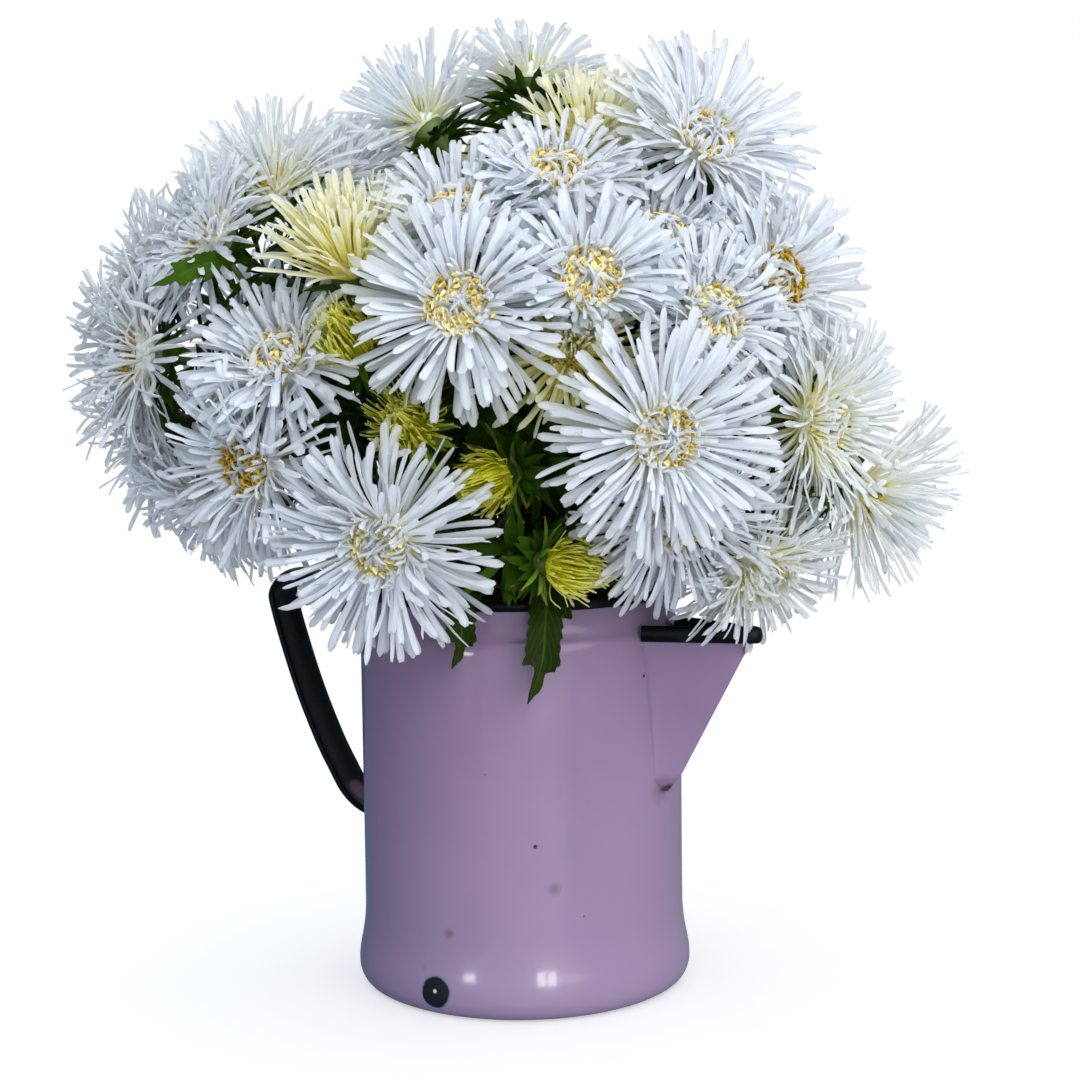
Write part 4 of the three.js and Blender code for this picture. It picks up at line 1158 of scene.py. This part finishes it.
def add_calyx(stems, leaves, head, rng, own):
    """The green cup under a head and the bracts round it."""
    core = CORE_RADIUS[head.form]
    profile = [(1.9, -CALYX_DEPTH - 1), (3.2, -8.5)]
    profile += [(core * 0.72, -5), (core * 0.98, -1.5), (core * 0.9, 1.5)]
    add_tube(stems, head.foot + lathe(profile, 14) @ head.axes)
    size = BRACT_SIZE[head.form]
    rows = [
        (14, (core * 0.85, -4.5), ((0, 25), (-35, 10)), (9, 15), 1.9, (0.4, 1)),
        (13, (core * 0.6, -6.5), ((-15, 10), (-50, -5)), (11, 19), 2.2, (0.4, 1)),
    ]
    if head.form == "bud":
        rows.append((16, (core * 0.9, -2.0), ((10, 45), (-10, 75)), (13, 25), 1.6, (1.0, 1.5)))
    for count, start, lifts, lengths, half, tones in rows:
        lengths = (lengths[0] * size, lengths[1] * size)
        add_leaflets(
            leaves, head.axes, head.foot, rng, count, start, lifts, lengths, half, BRACT_WIDTH, own, tones,
        )


def add_branch(stems, leaves, fork, head, rng, own):
    """A side branch, with narrow leaves along it."""
    path = branch_path(fork, head)
    radii = np.linspace(2.3, BRANCH_R, len(path))
    add_tube(stems, sweep(path, radii, 8))
    places = range(2, len(path) - 2, 2)
    add_leaves_along(leaves, path, places, rng, own, 4, (1.0, 0), ((30, 60), (-15, 35)), (18, 36), 2.5)


def leaf_spine(root, tip, hangs, steps):
    start, end = place(*root), place(*tip)
    bow = place(*HANGING_BOW) if hangs else place(0, LEAF_BOW, 0)
    middle = start + (end - start) * (0.3 if hangs else 0.5) + bow
    curl = np.clip((steps - 0.7) / 0.3, 0, 1)[:, None] ** 2 * TIP_CURL
    return bezier([start, middle, end], steps) - curl * place(1, 0, 0)


def add_lobed_leaf(bodies, row, rng):
    """A coarsely lobed leaf: the lobes point forward and the blade is waved and folded on its midrib."""
    _, root, tip, half, hangs = row
    rings, across = 43, 9
    steps = np.linspace(0, 1, rings)
    spine = leaf_spine(root, tip, hangs, steps)
    ahead = unit(np.gradient(spine, axis=0))
    outward = place(0, 0, 1) if hangs else np.array([0, 0, 1.0])
    side = unit(np.cross(ahead, outward))
    normal = np.cross(side, ahead)
    s = np.linspace(-1, 1, across)
    teeth = 1 + 0.07 * np.sin(steps * 80)
    lobes = np.stack([np.interp(steps, *zip(*edge)) * teeth for edge in LEAF_EDGES])
    halves = half * np.where(s[None] < 0, lobes[0][:, None], lobes[1][:, None])
    forward = (halves / half) ** 1.5 * half * 0.8 * np.abs(s)[None] ** 2
    wave = 1.1 * np.sin(steps * 17 + rng.uniform(0, 6))[:, None] * s[None] ** 2 * np.sign(s)[None]
    rise = 0.25 * halves * np.abs(s)[None] + wave
    flat = spine[:, None] + ahead[:, None] * forward[..., None] + side[:, None] * (halves * s)[..., None]
    top = flat + normal[:, None] * rise[..., None]
    bottom = top - normal[:, None] * LOBED_THICK
    loop = np.concatenate([top, bottom[:, ::-1]], axis=1)
    count = 2 * across
    k = np.arange(across - 1)
    first = np.stack([k, count - 1 - k, count - 2 - k, k + 1], axis=-1)
    last = first[:, ::-1] + (rings - 1) * count
    quads = np.concatenate([ring_quads(rings, count)[:, ::-1], first[:, ::-1], last[:, ::-1]])
    # leaves that hang below the rim take the painted shade
    tone = HANGING_SHADE_TONE if tip[1] < RIM_Z else rng.uniform(0.3, 0.8)
    bodies.add(loop, quads, (), point_values(loop.shape[:2], steps[:, None], np.append(s, s[::-1]), tone))


def build_greens():
    stem_green = stem_material()
    leaf_green = leaf_material()
    for number, (key, (foot, fork)) in enumerate(STEMS.items(), start=1):
        rng = np.random.default_rng(STEM_SEED + number)
        stems, leaves = Bodies(), Bodies()
        fork = place(*fork)
        path = main_path(foot, fork)
        add_tube(stems, sweep(path, np.linspace(STEM_R, 2.9, len(path)), 12))
        places = range(10, len(path), 2)
        add_leaves_along(leaves, path, places, rng, None, 7, (2.0, 0), ((30, 60), (-30, 40)), (26, 46), 3.4)
        for index, head in enumerate(HEADS):
            if head.stem == key:
                add_branch(stems, leaves, fork, head, rng, index)
                add_calyx(stems, leaves, head, rng, index)
        for row in LEAVES:
            if row[0] == key:
                seat = leaf_spine(row[1], row[2], row[4], np.array([0.0, 0.06]))[1]
                add_tube(stems, sweep(np.stack([fork, (fork + seat) / 2, seat]), [1.6, 1.4, 1.2], 7))
                add_lobed_leaf(leaves, row, rng)
        show(stems.mesh(f"stem_{number:02d}_green"), stem_green, "leaf_green", f"stem_{number:02d}")
        show(leaves.mesh(f"stem_{number:02d}_leaves"), leaf_green, "leaf_green")


# Stage


def add_light(name, kind, power, away, at=(0, 0, 0)):
    """A lamp at a place, shining against a direction."""
    light = bpy.data.lights.new(name, kind)
    light.energy = power
    lamp = placed(light)
    turn = Matrix(axes_along(unit(away)).T.tolist()).to_4x4()
    lamp.matrix_world = Matrix.Translation(place(*at) * MM) @ turn
    return lamp


def add_glint(name, at, size, power):
    """A rectangular light that only shows as a glint on glossy surfaces."""
    lamp = add_light(name, "AREA", power, place(*at) - place(*GLINT_TARGET), at)
    lamp.data.shape = "RECTANGLE"
    lamp.data.size, lamp.data.size_y = size[0] * MM, size[1] * MM
    lamp.visible_diffuse = False


def add_sun(name, way, power, spread, colour, spared):
    """A distant light from a direction (right, up, toward) that leaves the floor without a hard shadow."""
    lamp = add_light(name, "SUN", power, place(*way))
    lamp.data.angle = math.radians(spread)
    lamp.data.color = colour
    lamp.light_linking.receiver_collection = spared


def add_world():
    """A white backdrop; the room that lights the object is bluer on the left and warmer on the right."""
    world = bpy.data.worlds.new("studio")
    bpy.context.scene.world = world
    nodes = Nodes("studio", world)
    direction = nodes.node("ShaderNodeTexCoord").outputs["Generated"]
    slope = nodes.node("ShaderNodeVectorMath", operation="DOT_PRODUCT")
    nodes.link(direction, slope.inputs[0])
    slope.inputs[1].default_value = tuple(unit(place(*ROOM_SLOPE)))
    room = nodes.mix(nodes.spread(slope.outputs["Value"], -0.9, 0.9), ROOM_LEFT, ROOM_RIGHT)
    lit = nodes.mix(nodes.spread(nodes.height(direction), 0.15, 1.0), room, ROOM_ABOVE)
    seen = nodes.node("ShaderNodeLightPath").outputs["Is Camera Ray"]
    nodes.put(nodes.shader.inputs["Color"], nodes.mix(seen, lit, (1.0, 1.0, 1.0)))


def add_camera():
    camera = placed(bpy.data.cameras.new("camera"))
    bpy.context.scene.camera = camera
    front = Matrix([place(*axis) for axis in np.eye(3)]).transposed()
    turn = front @ Matrix.Rotation(-CAMERA_PITCH, 3, "X") @ Matrix.Rotation(CAMERA_ROLL, 3, "Z")
    camera.matrix_world = Matrix.Translation(place(*CAMERA_AT) * MM) @ turn.to_4x4()
    camera.data.lens = CAMERA_LENS
    camera.data.sensor_width = 36
    camera.data.clip_start = 0.05


def add_stage():
    piece = placed(tube_mesh("floor", lathe([(FLOOR_R, -20), (FLOOR_R, -0.05)], 96)))
    piece.data.materials.append(floor_material())
    piece.visible_glossy = False
    add_world()
    spared = bpy.data.collections.new("spared")
    spared.objects.link(piece)
    spared.collection_objects[0].light_linking.link_state = "EXCLUDE"
    for sun in SUNS:
        add_sun(*sun, spared)
    for window in WINDOWS:
        add_glint(*window)
    bpy.context.scene.view_settings.view_transform = "Standard"


add_camera()
add_stage()
build_jug()
build_greens()
build_heads()
